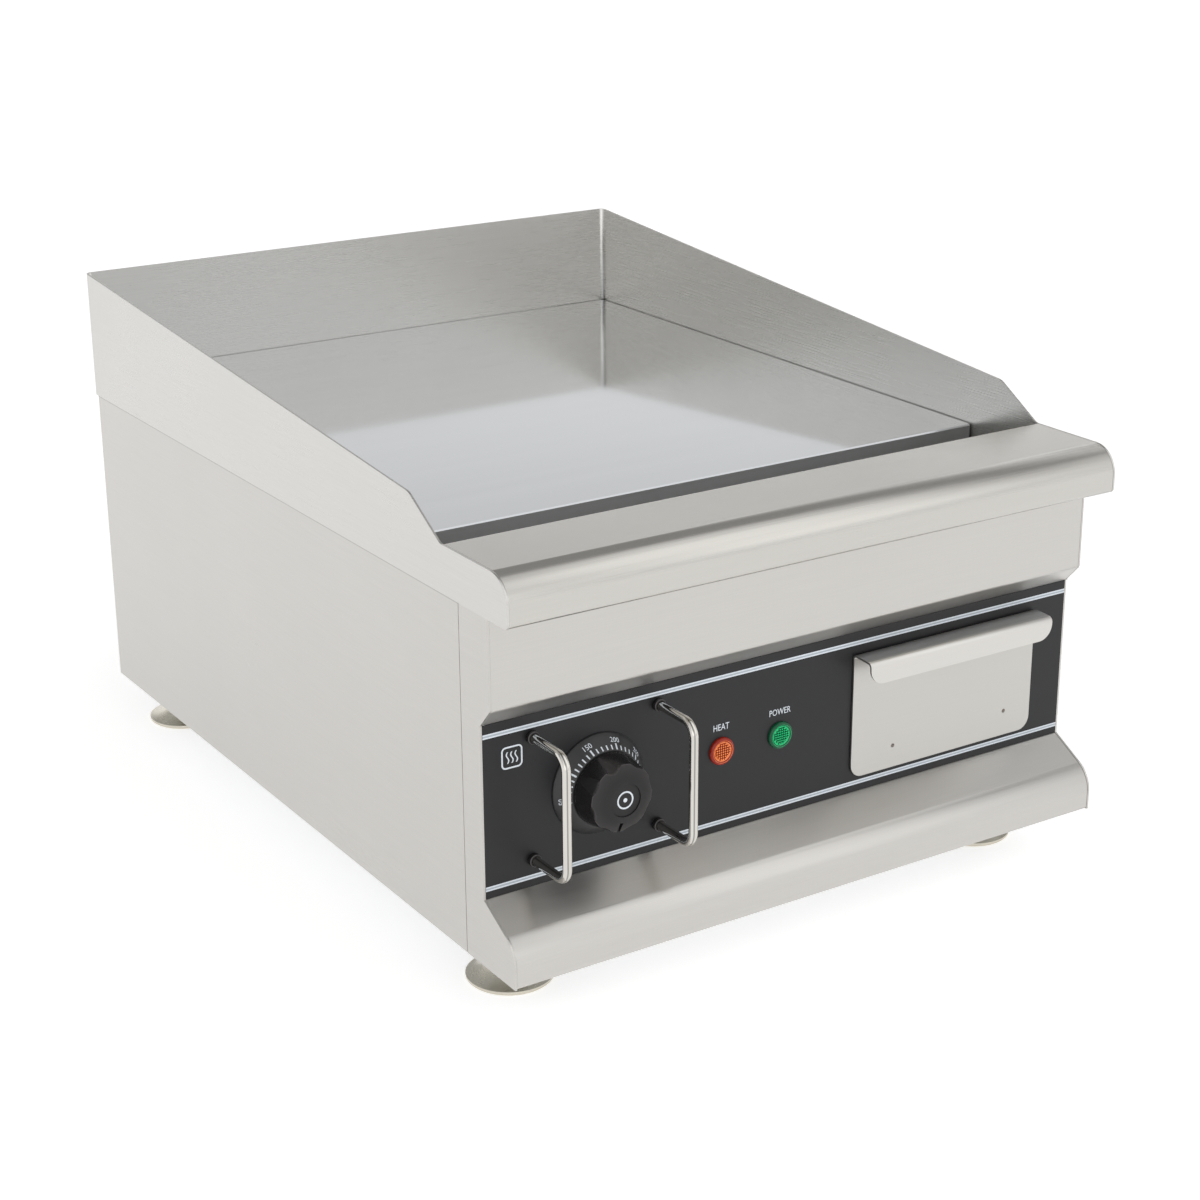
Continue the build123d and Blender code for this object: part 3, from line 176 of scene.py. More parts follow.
def brushed(name, colour, roughness, grain, stroke=0.06, smudge=0.03, lap_height=None, flap_depth=None):
    """Brushed metal: fine strokes in colour, roughness and relief, and soft handling marks.
    lap_height is where a sheet goes under another, with a painted shadow line just below the joint. What
    lies past flap_depth is painted a little darker than the flap, as shade beside the flap."""
    material, tree, shader = new_material(name)
    fine = noise(tree, 1.0, 2.0, grain, 0.6)
    cloud = noise(tree, 7.0, 3.0)
    colour_mix = blend_colour(tree, span(tree, fine, 0.0, 1.0), shaded(colour, 1 - stroke), colour)
    if lap_height is not None:
        # painted shadow: darkens the sheet in a thin line just below where it goes under the splash guard
        height = component(tree, "Object", "Z")
        lap_shadow = span(tree, height, 0.0, 1.0, lap_height - 1.5 * MM, lap_height - 0.5 * MM)
        colour_mix = blend_colour(tree, lap_shadow, colour_mix, shaded(colour, 0.2))
    if flap_depth is not None:
        # painted shade: the drawer face lying deeper than the flap is darkened a little
        depth = component(tree, "Object", "Y")
        flap_shade = span(tree, depth, 0.0, 1.0, flap_depth, flap_depth + 1.0 * MM)
        colour_mix = blend_colour(tree, flap_shade, colour_mix, (0.86, 0.86, 0.855), "MULTIPLY")
    tree.links.new(colour_mix, shader.inputs["Base Color"])
    base = span(tree, cloud, roughness - smudge, roughness + smudge)
    tree.links.new(math_node(tree, "ADD", base, span(tree, fine, -0.03, 0.03)), shader.inputs["Roughness"])
    shader.inputs["Metallic"].default_value = 1.0
    bump(tree, shader, fine, 0.12 * MM, 0.35)
    return material


def polished(name, colour, roughness, dark_band_normal_x=-0.38):
    """Drawn and polished rod: mirror finish with faint lengthwise marks and one painted dark reflection
    band, which runs along the rod where its normal's X has a certain value."""
    material, tree, shader = new_material(name)
    # painted reflection: a darker band along the rod, set by the normal's X
    across = math_node(tree, "SUBTRACT", component(tree, "Normal", "X"), dark_band_normal_x)
    offset = math_node(tree, "ABSOLUTE", across, 0.0)
    painted_dark_band = span(tree, offset, 1.0, 0.0, 0.06, 0.20)
    marks = noise(tree, 260.0, 3.0)
    cloud = noise(tree, 30.0, 2.0)
    tree.links.new(span(tree, marks, roughness * 0.8, roughness * 1.5), shader.inputs["Roughness"])
    clean = blend_colour(tree, span(tree, cloud, 0.0, 1.0), shaded(colour, 0.93), colour)
    tree.links.new(blend_colour(tree, painted_dark_band, clean, shaded(colour, 0.42)), shader.inputs["Base Color"])
    shader.inputs["Metallic"].default_value = 1.0
    bump(tree, shader, marks, 0.02 * MM, 0.2)
    return material


def chromed_plate(name, colour, roughness):
    """Ground and chromed plate: a soft mirror with fine grinding lines and a little wear; its sides are
    only ground."""
    material, tree, shader = new_material(name)
    lines = noise(tree, 1.0, 3.0, (5.0, 1300.0, 1300.0), 0.6)
    bands = noise(tree, 1.0, 2.0, (2.0, 60.0, 60.0), 0.5)
    cloud = noise(tree, 6.0, 3.0)
    shade = math_node(tree, "MULTIPLY_ADD", lines, 0.5)
    tree.links.new(math_node(tree, "MULTIPLY", bands, 0.5), shade.node.inputs[2])
    tree.links.new(
        blend_colour(tree, span(tree, shade, 0.0, 1.0), shaded(colour, 0.955), colour),
        shader.inputs["Base Color"],
    )
    base = span(tree, cloud, roughness - 0.01, roughness + 0.02)
    side = span(tree, component(tree, "Normal", "Z"), 1.0, 0.0, 0.5, 0.9)
    shine = math_node(tree, "ADD", base, span(tree, lines, -0.01, 0.02))
    tree.links.new(
        math_node(tree, "ADD", shine, math_node(tree, "MULTIPLY", side, 0.4)), shader.inputs["Roughness"]
    )
    shader.inputs["Metallic"].default_value = 1.0
    bump(tree, shader, lines, 0.02 * MM, 0.1)
    return material


def turned(name, colour, roughness):
    """Turned or plated small metal parts: an even fine grain of tool marks."""
    material, tree, shader = new_material(name)
    grain = noise(tree, 1.0, 3.0, (60.0, 60.0, 2200.0), 0.6)
    cloud = noise(tree, 40.0, 3.0)
    tree.links.new(
        blend_colour(tree, span(tree, cloud, 0.0, 1.0), shaded(colour, 0.88), colour),
        shader.inputs["Base Color"],
    )
    base = span(tree, cloud, roughness - 0.05, roughness + 0.05)
    tree.links.new(math_node(tree, "ADD", base, span(tree, grain, -0.05, 0.07)), shader.inputs["Roughness"])
    shader.inputs["Metallic"].default_value = 1.0
    bump(tree, shader, grain, 0.04 * MM, 0.25)
    return material


def spangled(name, colour, roughness):
    """Aluminised or galvanised sheet: broad pale and dark crystals."""
    material, tree, shader = new_material(name)
    cells = tree.nodes.new("ShaderNodeTexVoronoi")
    cells.inputs["Scale"].default_value = 90.0
    tree.links.new(coordinates(tree), cells.inputs["Vector"])
    tone = noise(tree, 60.0, 4.0)
    shade = math_node(tree, "MULTIPLY", cells.outputs["Distance"], 0.6)
    mixed = math_node(tree, "ADD", shade, math_node(tree, "MULTIPLY", tone, 0.6))
    tree.links.new(
        blend_colour(tree, span(tree, mixed, 0.0, 1.0, 0.2, 0.9), shaded(colour, 0.78), colour),
        shader.inputs["Base Color"],
    )
    tree.links.new(span(tree, mixed, roughness - 0.1, roughness + 0.1, 0.2, 0.9), shader.inputs["Roughness"])
    shader.inputs["Metallic"].default_value = 0.9
    bump(tree, shader, tone, 0.05 * MM, 0.3)
    return material


def moulded(name, colour, roughness, grain=900.0, depth=0.03 * MM, coat=0.0):
    """Moulded plastic or rubber: a fine even texture and slight tone changes."""
    material, tree, shader = new_material(name)
    texture = noise(tree, grain, 3.0)
    cloud = noise(tree, 45.0, 3.0)
    tree.links.new(
        blend_colour(tree, span(tree, cloud, 0.0, 1.0), shaded(colour, 0.85), shaded(colour, 1.1)),
        shader.inputs["Base Color"],
    )
    tree.links.new(span(tree, cloud, roughness - 0.05, roughness + 0.05), shader.inputs["Roughness"])
    shader.inputs["Coat Weight"].default_value = coat
    bump(tree, shader, texture, depth, 0.4)
    return material


def knob_plastic(name, colour):
    """Knob: glossy sides, a face with a fine matt spark texture, and a painted highlight on the edges
    between them.
    """
    material, tree, shader = new_material(name)
    depth = component(tree, "Normal", "Y")
    face = span(tree, depth, 1.0, 0.0, -0.95, -0.6)
    texture = noise(tree, 2600.0, 3.0)
    cloud = noise(tree, 70.0, 3.0)
    side = span(tree, depth, 0.0, 1.0, -0.55, -0.25)
    # painted highlight: the bevel band between the face and the sides is made much lighter
    edge_highlight = math_node(tree, "SUBTRACT", math_node(tree, "SUBTRACT", 1.0, face), side)
    plain = blend_colour(tree, face, colour, shaded(colour, 1.25))
    tree.links.new(blend_colour(tree, edge_highlight, plain, shaded(colour, 7.0)), shader.inputs["Base Color"])
    shader.inputs["Specular IOR Level"].default_value = 0.34
    matt = math_node(tree, "MULTIPLY", face, 0.34)
    tree.links.new(
        math_node(tree, "ADD", matt, span(tree, cloud, 0.19, 0.27)),
        shader.inputs["Roughness"],
    )
    bump(tree, shader, math_node(tree, "MULTIPLY", texture, face), 0.05 * MM, 0.6)
    return material


def printed_film(name, colour):
    """Satin printed film: nearly flat, with a very fine grain and faint wiping marks."""
    material, tree, shader = new_material(name)
    grain = noise(tree, 1800.0, 2.0)
    wipes = noise(tree, 1.0, 3.0, (14.0, 14.0, 50.0))
    tree.links.new(
        blend_colour(tree, span(tree, wipes, 0.0, 1.0), shaded(colour, 0.93), shaded(colour, 1.06)),
        shader.inputs["Base Color"],
    )
    tree.links.new(span(tree, wipes, 0.36, 0.44), shader.inputs["Roughness"])
    shader.inputs["Specular IOR Level"].default_value = 0.38
    bump(tree, shader, grain, 0.02 * MM, 0.25)
    return material


def ink(name, colour, roughness, metallic=0.0):
    """Screen ink: slightly uneven cover."""
    material, tree, shader = new_material(name)
    cover = noise(tree, 700.0, 3.0)
    tree.links.new(
        blend_colour(tree, span(tree, cover, 0.0, 1.0), shaded(colour, 0.88), colour),
        shader.inputs["Base Color"],
    )
    tree.links.new(span(tree, cover, roughness - 0.05, roughness + 0.08), shader.inputs["Roughness"])
    shader.inputs["Metallic"].default_value = metallic
    bump(tree, shader, cover, 0.01 * MM, 0.3)
    return material


def lens(name, deep, bright):
    """Coloured lamp lens: deep colour on its slopes, with a painted highlight in a brighter colour where it
    faces the front.
    """
    material, tree, shader = new_material(name)
    # painted highlight: surfaces facing straight to the front get the bright colour
    front_highlight = span(tree, component(tree, "Normal", "Y"), 1.0, 0.0, -0.999, -0.97)
    cloud = noise(tree, 350.0, 3.0)
    mixed = math_node(tree, "MULTIPLY", front_highlight, span(tree, cloud, 0.8, 1.0))
    tree.links.new(blend_colour(tree, mixed, deep, bright), shader.inputs["Base Color"])
    tree.links.new(span(tree, cloud, 0.12, 0.2), shader.inputs["Roughness"])
    shader.inputs["Specular IOR Level"].default_value = 0.35
    shader.inputs["Transmission Weight"].default_value = 0.1
    return material


def fibre(name, colour):
    """Rigid ceramic fibre: chalky, with a fine matted surface."""
    material, tree, shader = new_material(name)
    mat = noise(tree, 420.0, 6.0, (1.0, 1.0, 2.5), 0.7)
    lumps = noise(tree, 60.0, 3.0)
    tree.links.new(
        blend_colour(tree, span(tree, mat, 0.0, 1.0), shaded(colour, 0.82), colour),
        shader.inputs["Base Color"],
    )
    tree.links.new(span(tree, mat, 0.9, 1.0), shader.inputs["Roughness"])
    bump(tree, shader, lumps, 0.4 * MM, 0.5)
    bump(tree, shader, mat, 0.3 * MM, 0.7)
    return material


STAINLESS = (0.588, 0.573, 0.546)
LAP_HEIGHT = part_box("splash_guard")[0].z  # the splash guard's skirt ends here, over the body
FLAP_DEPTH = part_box("drawer_front")[0].y + 4.0 * MM  # the flap lies in front of this
MATERIALS = {
    "brushed_stainless": brushed("brushed_stainless", STAINLESS, 0.32, ACROSS),
    "lip_stainless": brushed("lip_stainless", (0.58, 0.565, 0.53), 0.22, ALONG_X, 0.04),
    # the drawer's finish carries painted shade on the face that lies deeper than its flap
    "drawer_stainless": brushed(
        "drawer_stainless", (0.66, 0.645, 0.615), 0.36, ALONG_X, 0.03, flap_depth=FLAP_DEPTH
    ),
    "plate_chrome": chromed_plate("plate_chrome", (0.575, 0.592, 0.608), 0.065),
    "panel_black": printed_film("panel_black", (0.0105, 0.0105, 0.0120)),
    "polished_wire": polished("polished_wire", (0.66, 0.64, 0.60), 0.07),
    "black_plastic": knob_plastic("black_plastic", (0.012, 0.011, 0.011)),
    "dial_black": moulded("dial_black", (0.022, 0.022, 0.023), 0.36, 2200.0, 0.02 * MM),
    "amber_lens": lens("amber_lens", (0.30, 0.014, 0.004), (1.0, 0.27, 0.07)),
    "green_lens": lens("green_lens", (0.0, 0.085, 0.032), (0.004, 0.60, 0.20)),
    "white_plastic": moulded("white_plastic", (0.72, 0.70, 0.64), 0.42),
    "zinc_steel": turned("zinc_steel", (0.66, 0.66, 0.63), 0.30),
    "galvanised": spangled("galvanised", (0.56, 0.57, 0.57), 0.42),
    "element_steel": turned("element_steel", (0.24, 0.21, 0.19), 0.45),
    "ceramic_fibre": fibre("ceramic_fibre", (0.82, 0.80, 0.75)),
    "copper": turned("copper", (0.78, 0.42, 0.27), 0.28),
    "wire_insulation": moulded("wire_insulation", (0.055, 0.045, 0.04), 0.55, 500.0),
    "foot_steel": turned("foot_steel", (0.70, 0.66, 0.57), 0.24),
    "gland_black": moulded("gland_black", (0.022, 0.022, 0.023), 0.45),
    "gland_rubber": moulded("gland_rubber", (0.018, 0.018, 0.018), 0.75, 600.0),
    "reset_red": moulded("reset_red", (0.52, 0.02, 0.015), 0.22, 1500.0, 0.02 * MM, 0.3),
    "print_silver": ink("print_silver", (0.42, 0.47, 0.52), 0.42, 0.35),
    "print_white": ink("print_white", (0.70, 0.75, 0.80), 0.5),
}
GRAIN_ALONG_X = {"upper_front_panel", "lower_skirt", "control_panel", "grease_trough", "rear_panel"}
FRONT_STAINLESS = brushed("front_stainless", STAINLESS, 0.34, ALONG_X, 0.04)
UNDER_THE_LAP = {"side_panel_left", "side_panel_right", "rear_panel"}
SPLASH_STAINLESS = brushed("splash_stainless", (0.625, 0.615, 0.592), 0.30, ACROSS)
# side and rear panels carry a painted shadow line under the splash guard's lap
LAPPED_STAINLESS = brushed("lapped_stainless", STAINLESS, 0.32, ACROSS, lap_height=LAP_HEIGHT)

# softened edges: sheet nodes get the burr-free edge of cut sheet, solid ones a little more
SOFT_EDGES = {
    "splash_guard": 0.35, "front_lip": 0.35, "side_panel_left": 0.3, "side_panel_right": 0.3,
    "front_cheek_left": 0.3, "front_cheek_right": 0.3, "upper_front_panel": 0.3, "lower_skirt": 0.5,
    "drawer_front": 0.35, "griddle_plate": 0.3, "control_knob": 0.35,
    "knob_cap": 0.3, "dial_plate": 0.2, "guard_ferrules": 0.2, "drawer_tray": 0.25,
    "reset_button": 0.15, "gland_cap": 0.4, "gland_body": 0.3,
    "foot_front_left": 0.3, "foot_front_right": 0.3, "foot_rear_left": 0.3, "foot_rear_right": 0.3,
}


def soften(node_object, width):
    """Welds a node's mesh and bevels its sharp edges by a width in millimetres."""
    weld = node_object.modifiers.new("weld", "WELD")
    weld.merge_threshold = 0.001 * MM
    edges = node_object.modifiers.new("edges", "BEVEL")
    edges.width = width * MM
    edges.segments = 2
    edges.limit_method = "ANGLE"
    edges.angle_limit = math.radians(38.0)
    edges.harden_normals = True
    edges.use_clamp_overlap = True


for softened_name, edge_width in SOFT_EDGES.items():
    soften(NODES[softened_name], edge_width)

for node_name, node_object in NODES.items():
    finish = MATERIALS[SLOT_OF[node_name]]
    if node_name in UNDER_THE_LAP:
        finish = LAPPED_STAINLESS
    elif node_name == "splash_guard":
        finish = SPLASH_STAINLESS
    elif node_name in GRAIN_ALONG_X:
        finish = FRONT_STAINLESS
    if not node_object.material_slots:
        node_object.data.materials.append(finish)
    for material_slot in node_object.material_slots:
        material_slot.material = finish


# ---------------------------------------------------------------- mesh helpers
def add_piece(name, vertices, faces, slot, body, smooth=False):
    """A mesh object with a slot's material, which rides on a body."""
    mesh = bpy.data.meshes.new(name)
    mesh.from_pydata(vertices, [], faces)
    mesh.validate()
    mesh.update()
    piece = bpy.data.objects.new(name, mesh)
    bpy.context.scene.collection.objects.link(piece)
    piece.data.materials.append(MATERIALS[slot])
    if smooth:
        piece.data.polygons.foreach_set("use_smooth", [True] * len(mesh.polygons))
    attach(piece, body)
    return piece


def merge(parts):
    """Joins (vertices, faces) pairs into one pair."""
    vertices, faces = [], []
    for part_vertices, part_faces in parts:
        offset = len(vertices)
        vertices += part_vertices
        faces += [[index + offset for index in face] for face in part_faces]
    return vertices, faces


def slab(outline, place, thickness, sunk):
    """A thin closed slab over a flat outline. place(u, v, height) gives a point in the frame."""
    count = len(outline)
    top = [place(u, v, thickness) for u, v in outline]
    bottom = [place(u, v, -sunk) for u, v in outline]
    faces = [list(range(count)), list(range(2 * count - 1, count - 1, -1))]
    for i in range(count):
        j = (i + 1) % count
        faces.append([i, i + count, j + count, j])
    return top + bottom, faces


def band(outer, inner, place, thickness, sunk):
    """A thin closed slab between two outlines with the same number of points."""
    count = len(outer)
    rings = [
        [place(u, v, thickness) for u, v in outer],
        [place(u, v, thickness) for u, v in inner],
        [place(u, v, -sunk) for u, v in inner],
        [place(u, v, -sunk) for u, v in outer],
    ]
    faces = []
    for ring in range(4):
        following = (ring + 1) % 4
        for i in range(count):
            j = (i + 1) % count
            faces.append([ring * count + i, ring * count + j, following * count + j, following * count + i])
    return [point for ring in rings for point in ring], faces


def rounded_rectangle(centre_u, centre_v, width, height, radius, steps=6):
    """Outline of a rectangle with round corners, anticlockwise."""
    outline = []
    for corner, (sign_u, sign_v) in enumerate(((1, 1), (-1, 1), (-1, -1), (1, -1))):
        for step in range(steps + 1):
            angle = (corner + step / steps) * math.pi / 2
            outline.append(
                (
                    centre_u + sign_u * (width / 2 - radius) + radius * math.cos(angle),
                    centre_v + sign_v * (height / 2 - radius) + radius * math.sin(angle),
                )
            )
    return outline


def circle(centre_u, centre_v, radius, steps=48):
    return [
        (
            centre_u + radius * math.cos(2 * math.pi * step / steps),
            centre_v + radius * math.sin(2 * math.pi * step / steps),
        )
        for step in range(steps)
    ]


def lettering(text, height, width_scale=1.0):
    """Flat triangles of a word whose middle is the origin; returns points and faces."""
    curve = bpy.data.curves.new("lettering", "FONT")
    curve.body = text
    curve.align_x = "CENTER"
    curve.resolution_u = 3
    letters = bpy.data.objects.new("lettering", curve)
    mesh = bpy.data.meshes.new_from_object(letters)
    points = [(vertex.co.x, vertex.co.y) for vertex in mesh.vertices]
    faces = [list(polygon.vertices) for polygon in mesh.polygons]
    low = min(v for _, v in points)
    high = max(v for _, v in points)
    middle = (min(u for u, _ in points) + max(u for u, _ in points)) / 2
    scale = height / (high - low)
    points = [((u - middle) * scale * width_scale, (v - (low + high) / 2) * scale) for u, v in points]
    bpy.data.objects.remove(letters)
    bpy.data.curves.remove(curve)
    bpy.data.meshes.remove(mesh)
    return points, faces


def thick_lettering(points, faces, place, thickness, sunk):
    """Turns flat lettering into closed slabs on a surface."""
    sheet = bmesh.new()
    flat = [sheet.verts.new((u, v, 0.0)) for u, v in points]
    for face in faces:
        sheet.faces.new([flat[index] for index in face])
    bmesh.ops.remove_doubles(sheet, verts=sheet.verts, dist=1e-7)
    bmesh.ops.recalc_face_normals(sheet, faces=sheet.faces)
    top = sheet.faces[:]
    grown = bmesh.ops.extrude_face_region(sheet, geom=top, use_keep_orig=True)
    for vertex in [item for item in grown["geom"] if isinstance(item, bmesh.types.BMVert)]:
        vertex.co.z = 1.0
    bmesh.ops.recalc_face_normals(sheet, faces=sheet.faces)
    sheet.verts.index_update()
    vertices = [place(v.co.x, v.co.y, thickness if v.co.z > 0.5 else -sunk) for v in sheet.verts]
    polygons = [[v.index for v in face.verts] for face in sheet.faces]
    sheet.free()
    return vertices, polygons


def turned_mesh(profile, centre, steps=64):
    """Revolves (radius, height) points about an axis towards the front; height 0 is the centre's plane."""
    vertices, faces = [], []
    for radius, height in profile:
        for step in range(steps):
            angle = 2 * math.pi * step / steps
            vertices.append(
                (
                    centre.x + radius * math.cos(angle),
                    centre.y - height,
                    centre.z + radius * math.sin(angle),
                )
            )
    for ring in range(len(profile) - 1):
        for step in range(steps):
            following = (step + 1) % steps
            faces.append(
                [
                    ring * steps + step,
                    ring * steps + following,
                    (ring + 1) * steps + following,
                    (ring + 1) * steps + step,
                ]
            )
    faces.append(list(range(steps - 1, -1, -1)))
    faces.append([(len(profile) - 1) * steps + step for step in range(steps)])
    return vertices, faces


# ---------------------------------------------------------------- print on the control panel
def on_panel(u, v, height):
    """A point on the control panel: u to the right, v up, height out of the panel."""
    return (u, PANEL_FRONT - height, v)


STRIPE_HEIGHT = 2.5 * MM
STRIPE_BORDER = 0.75 * MM  # a paler line along each edge of a stripe
STRIPE_INSET = 5.7 * MM  # from the panel's top and bottom edges to the stripes' middles
STRIPE_CUT = 0.2 * MM  # ends stop this short of the panel's ends

panel_middle = (PANEL_LOW.x + PANEL_HIGH.x) / 2
stripe_length = PANEL_HIGH.x - PANEL_LOW.x - 2 * STRIPE_CUT
for stripe_name, stripe_z in (
    ("print_stripe_top", PANEL_HIGH.z - STRIPE_INSET - 0.8 * MM),
    ("print_stripe_bottom", PANEL_LOW.z + STRIPE_INSET - 0.2 * MM),
):
    stripe = rounded_rectangle(panel_middle, stripe_z, stripe_length, STRIPE_HEIGHT, 0.1 * MM, 2)
    add_piece(stripe_name, *slab(stripe, on_panel, PRINT_THICKNESS, PRINT_SUNK), "print_silver", "root")
    borders = []
    for side in (-1, 1):
        border_z = stripe_z + side * (STRIPE_HEIGHT - STRIPE_BORDER) / 2
        border = rounded_rectangle(panel_middle, border_z, stripe_length, STRIPE_BORDER, 0.1 * MM, 2)
        borders.append(slab(border, on_panel, PRINT_THICKNESS + 0.03 * MM, PRINT_SUNK))
    add_piece(stripe_name.replace("stripe", "border"), *merge(borders), "print_white", "root")

# a rounded square at the left end, with three short rising waves
ICON_CENTRE = (-181.5 * MM, 146.4 * MM)
ICON_WIDTH, ICON_HEIGHT = 12.6 * MM, 12.4 * MM
ICON_LINE = 0.9 * MM
icon_parts = [
    band(
        rounded_rectangle(*ICON_CENTRE, ICON_WIDTH, ICON_HEIGHT, 2.6 * MM),
        rounded_rectangle(
            *ICON_CENTRE, ICON_WIDTH - 2 * ICON_LINE, ICON_HEIGHT - 2 * ICON_LINE, 2.6 * MM - ICON_LINE
        ),
        on_panel,
        PRINT_THICKNESS,
        PRINT_SUNK,
    )
]
WAVE_STEPS = 16
WAVE_HALF_WIDTH = 0.38 * MM
WAVE_HEIGHT = 6.4 * MM
WAVE_SWING = 0.7 * MM
for wave_offset in (-2.6 * MM, 0.0, 2.6 * MM):
    left_side, right_side = [], []
    for step in range(WAVE_STEPS + 1):
        along = step / WAVE_STEPS
        u = ICON_CENTRE[0] + wave_offset + WAVE_SWING * math.sin(2 * math.pi * along)
        v = ICON_CENTRE[1] + WAVE_HEIGHT * (along - 0.5)
        left_side.append((u - WAVE_HALF_WIDTH, v))
        right_side.append((u + WAVE_HALF_WIDTH, v))
    icon_parts.append(slab(right_side + left_side[::-1], on_panel, PRINT_THICKNESS, PRINT_SUNK))
add_piece("print_icon", *merge(icon_parts), "print_white", "root")

LABEL_HEIGHT = 3.7 * MM
LABEL_RISE = 14.0 * MM  # from a lamp's axis to the middle of its label
for label, lamp_node in (("HEAT", "heat_lamp_lens"), ("POWER", "power_lamp_lens")):
    lamp_low, lamp_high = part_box(lamp_node)
    lamp_x = (lamp_low.x + lamp_high.x) / 2
    label_z = (lamp_low.z + lamp_high.z) / 2 + LABEL_RISE
    letter_points, letter_faces = lettering(label, LABEL_HEIGHT, 0.80)
    placed_points = [(u + lamp_x, v + label_z) for u, v in letter_points]
    add_piece(
        f"print_label_{label.lower()}",
        *thick_lettering(placed_points, letter_faces, on_panel, PRINT_THICKNESS, PRINT_SUNK),
        "print_white",
        "root",
    )


# ---------------------------------------------------------------- scale on the dial's cone
DIAL_SLOPE = math.hypot(DIAL_RADIUS - DIAL_TOP_RADIUS, DIAL_HIGH.y - DIAL_LOW.y - DIAL_RIM)
SCALE_START = 50
SCALE_END = 300
ANGLE_AT_200 = 18.0
DEGREES_PER_UNIT = 0.77


def on_dial(angle, across, up, height):
    """A point on the cone: angle clockwise from the top, across the reading direction, up the slope
    measured from the cone's outer edge, and height out of its surface."""
    share = up / DIAL_SLOPE
    radius = DIAL_RADIUS + (DIAL_TOP_RADIUS - DIAL_RADIUS) * share
    rise = DIAL_RIM + (DIAL_HIGH.y - DIAL_LOW.y - DIAL_RIM) * share
    normal_out = (DIAL_HIGH.y - DIAL_LOW.y - DIAL_RIM) / DIAL_SLOPE
    normal_front = (DIAL_RADIUS - DIAL_TOP_RADIUS) / DIAL_SLOPE
    turn = angle + across / radius
    reach = radius + height * normal_out
    return (
        DIAL_CENTRE.x + reach * math.sin(turn),
        DIAL_HIGH.y - rise - height * normal_front,
        DIAL_CENTRE.z + reach * math.cos(turn),
    )


def dial_angle(value):
    return math.radians(ANGLE_AT_200 + (value - 200) * DEGREES_PER_UNIT)


def dial_mark(angle, width, start, end):
    """A short stroke across the cone between two distances from its outer edge."""
    outline = [(-width / 2, start), (width / 2, start), (width / 2, end), (-width / 2, end)]
    return slab(
        outline, lambda u, v, h: on_dial(angle, u, v, h), PRINT_THICKNESS, PRINT_SUNK
    )


TICK_END = DIAL_SLOPE - 0.5 * MM
marks = []
for value in range(SCALE_START, SCALE_END + 1, 10):
    is_long = value % 50 == 0
    tick_length = 3.6 * MM if is_long else 2.7 * MM
    tick_width = 0.95 * MM if is_long else 0.75 * MM
    marks.append(dial_mark(dial_angle(value), tick_width, TICK_END - tick_length, TICK_END))
add_piece("print_dial_ticks", *merge(marks), "print_white", "root")

NUMBER_HEIGHT = 2.9 * MM
NUMBER_MIDDLE = DIAL_SLOPE - 6.4 * MM
numbers = []
for value in range(SCALE_START, SCALE_END + 1, 50):
    digit_points, digit_faces = lettering(str(value), NUMBER_HEIGHT, 0.95)
    angle = dial_angle(value)
    numbers.append(
        thick_lettering(
            digit_points,
            digit_faces,
            lambda u, v, h: on_dial(angle, u, NUMBER_MIDDLE - v, h),
            PRINT_THICKNESS,
            PRINT_SUNK,
        )
    )
add_piece("print_dial_numbers", *merge(numbers), "print_white", "root")

# ---------------------------------------------------------------- mark on the knob's cap
cap_low, cap_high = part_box("knob_cap")
CAP_CENTRE = (cap_low + cap_high) / 2


def on_cap(u, v, height):
    return (CAP_CENTRE.x + u, cap_low.y - height, CAP_CENTRE.z + v)


emblem_parts = [
    band(circle(0, 0, 5.0 * MM), circle(0, 0, 4.1 * MM), on_cap, PRINT_THICKNESS, PRINT_SUNK),
    slab(circle(0, 0, 1.2 * MM), on_cap, PRINT_THICKNESS, PRINT_SUNK),
]
add_piece("print_knob_mark", *merge(emblem_parts), "print_white", "knob")

# ---------------------------------------------------------------- lamp lenses with a waffle centre
WAFFLE_PITCH = 1.4 * MM
WAFFLE_RADIUS = 5.6 * MM
WAFFLE_FLOOR = 1.75 * MM
WAFFLE_TOP = 2.35 * MM
WAFFLE_BLUNT = 0.62  # a pyramid's flat top, as a share of its base
LENS_PROFILE = [
    (8.0, 0.0), (8.0, 0.7), (7.9, 1.2), (7.6, 1.65), (7.1, 1.95),
    (6.5, 2.15), (6.3, 2.15), (5.7, 1.75), (0.05, 1.75),
]


def waffle(centre):
    """Small blunt pyramids on a square grid, clipped to a circle."""
    parts = []
    reach = int(WAFFLE_RADIUS / WAFFLE_PITCH) + 1
    half = WAFFLE_PITCH / 2
    for column in range(-reach, reach + 1):
        for row in range(-reach, reach + 1):
            u, v = column * WAFFLE_PITCH, row * WAFFLE_PITCH
            if math.hypot(abs(u) + half, abs(v) + half) > WAFFLE_RADIUS + 0.25 * MM:
                continue
            ring = [(u - half, v - half), (u + half, v - half), (u + half, v + half), (u - half, v + half)]
            base = [(centre.x + a, centre.y - WAFFLE_FLOOR + 0.05 * MM, centre.z + b) for a, b in ring]
            top = [
                (
                    centre.x + u + (a - u) * WAFFLE_BLUNT,
                    centre.y - WAFFLE_TOP,
                    centre.z + v + (b - v) * WAFFLE_BLUNT,
                )
                for a, b in ring
            ]
            sides = [[i, (i + 1) % 4, 4 + (i + 1) % 4, 4 + i] for i in range(4)]
            parts.append((base + top, sides + [[4, 5, 6, 7], [3, 2, 1, 0]]))
    return merge(parts)


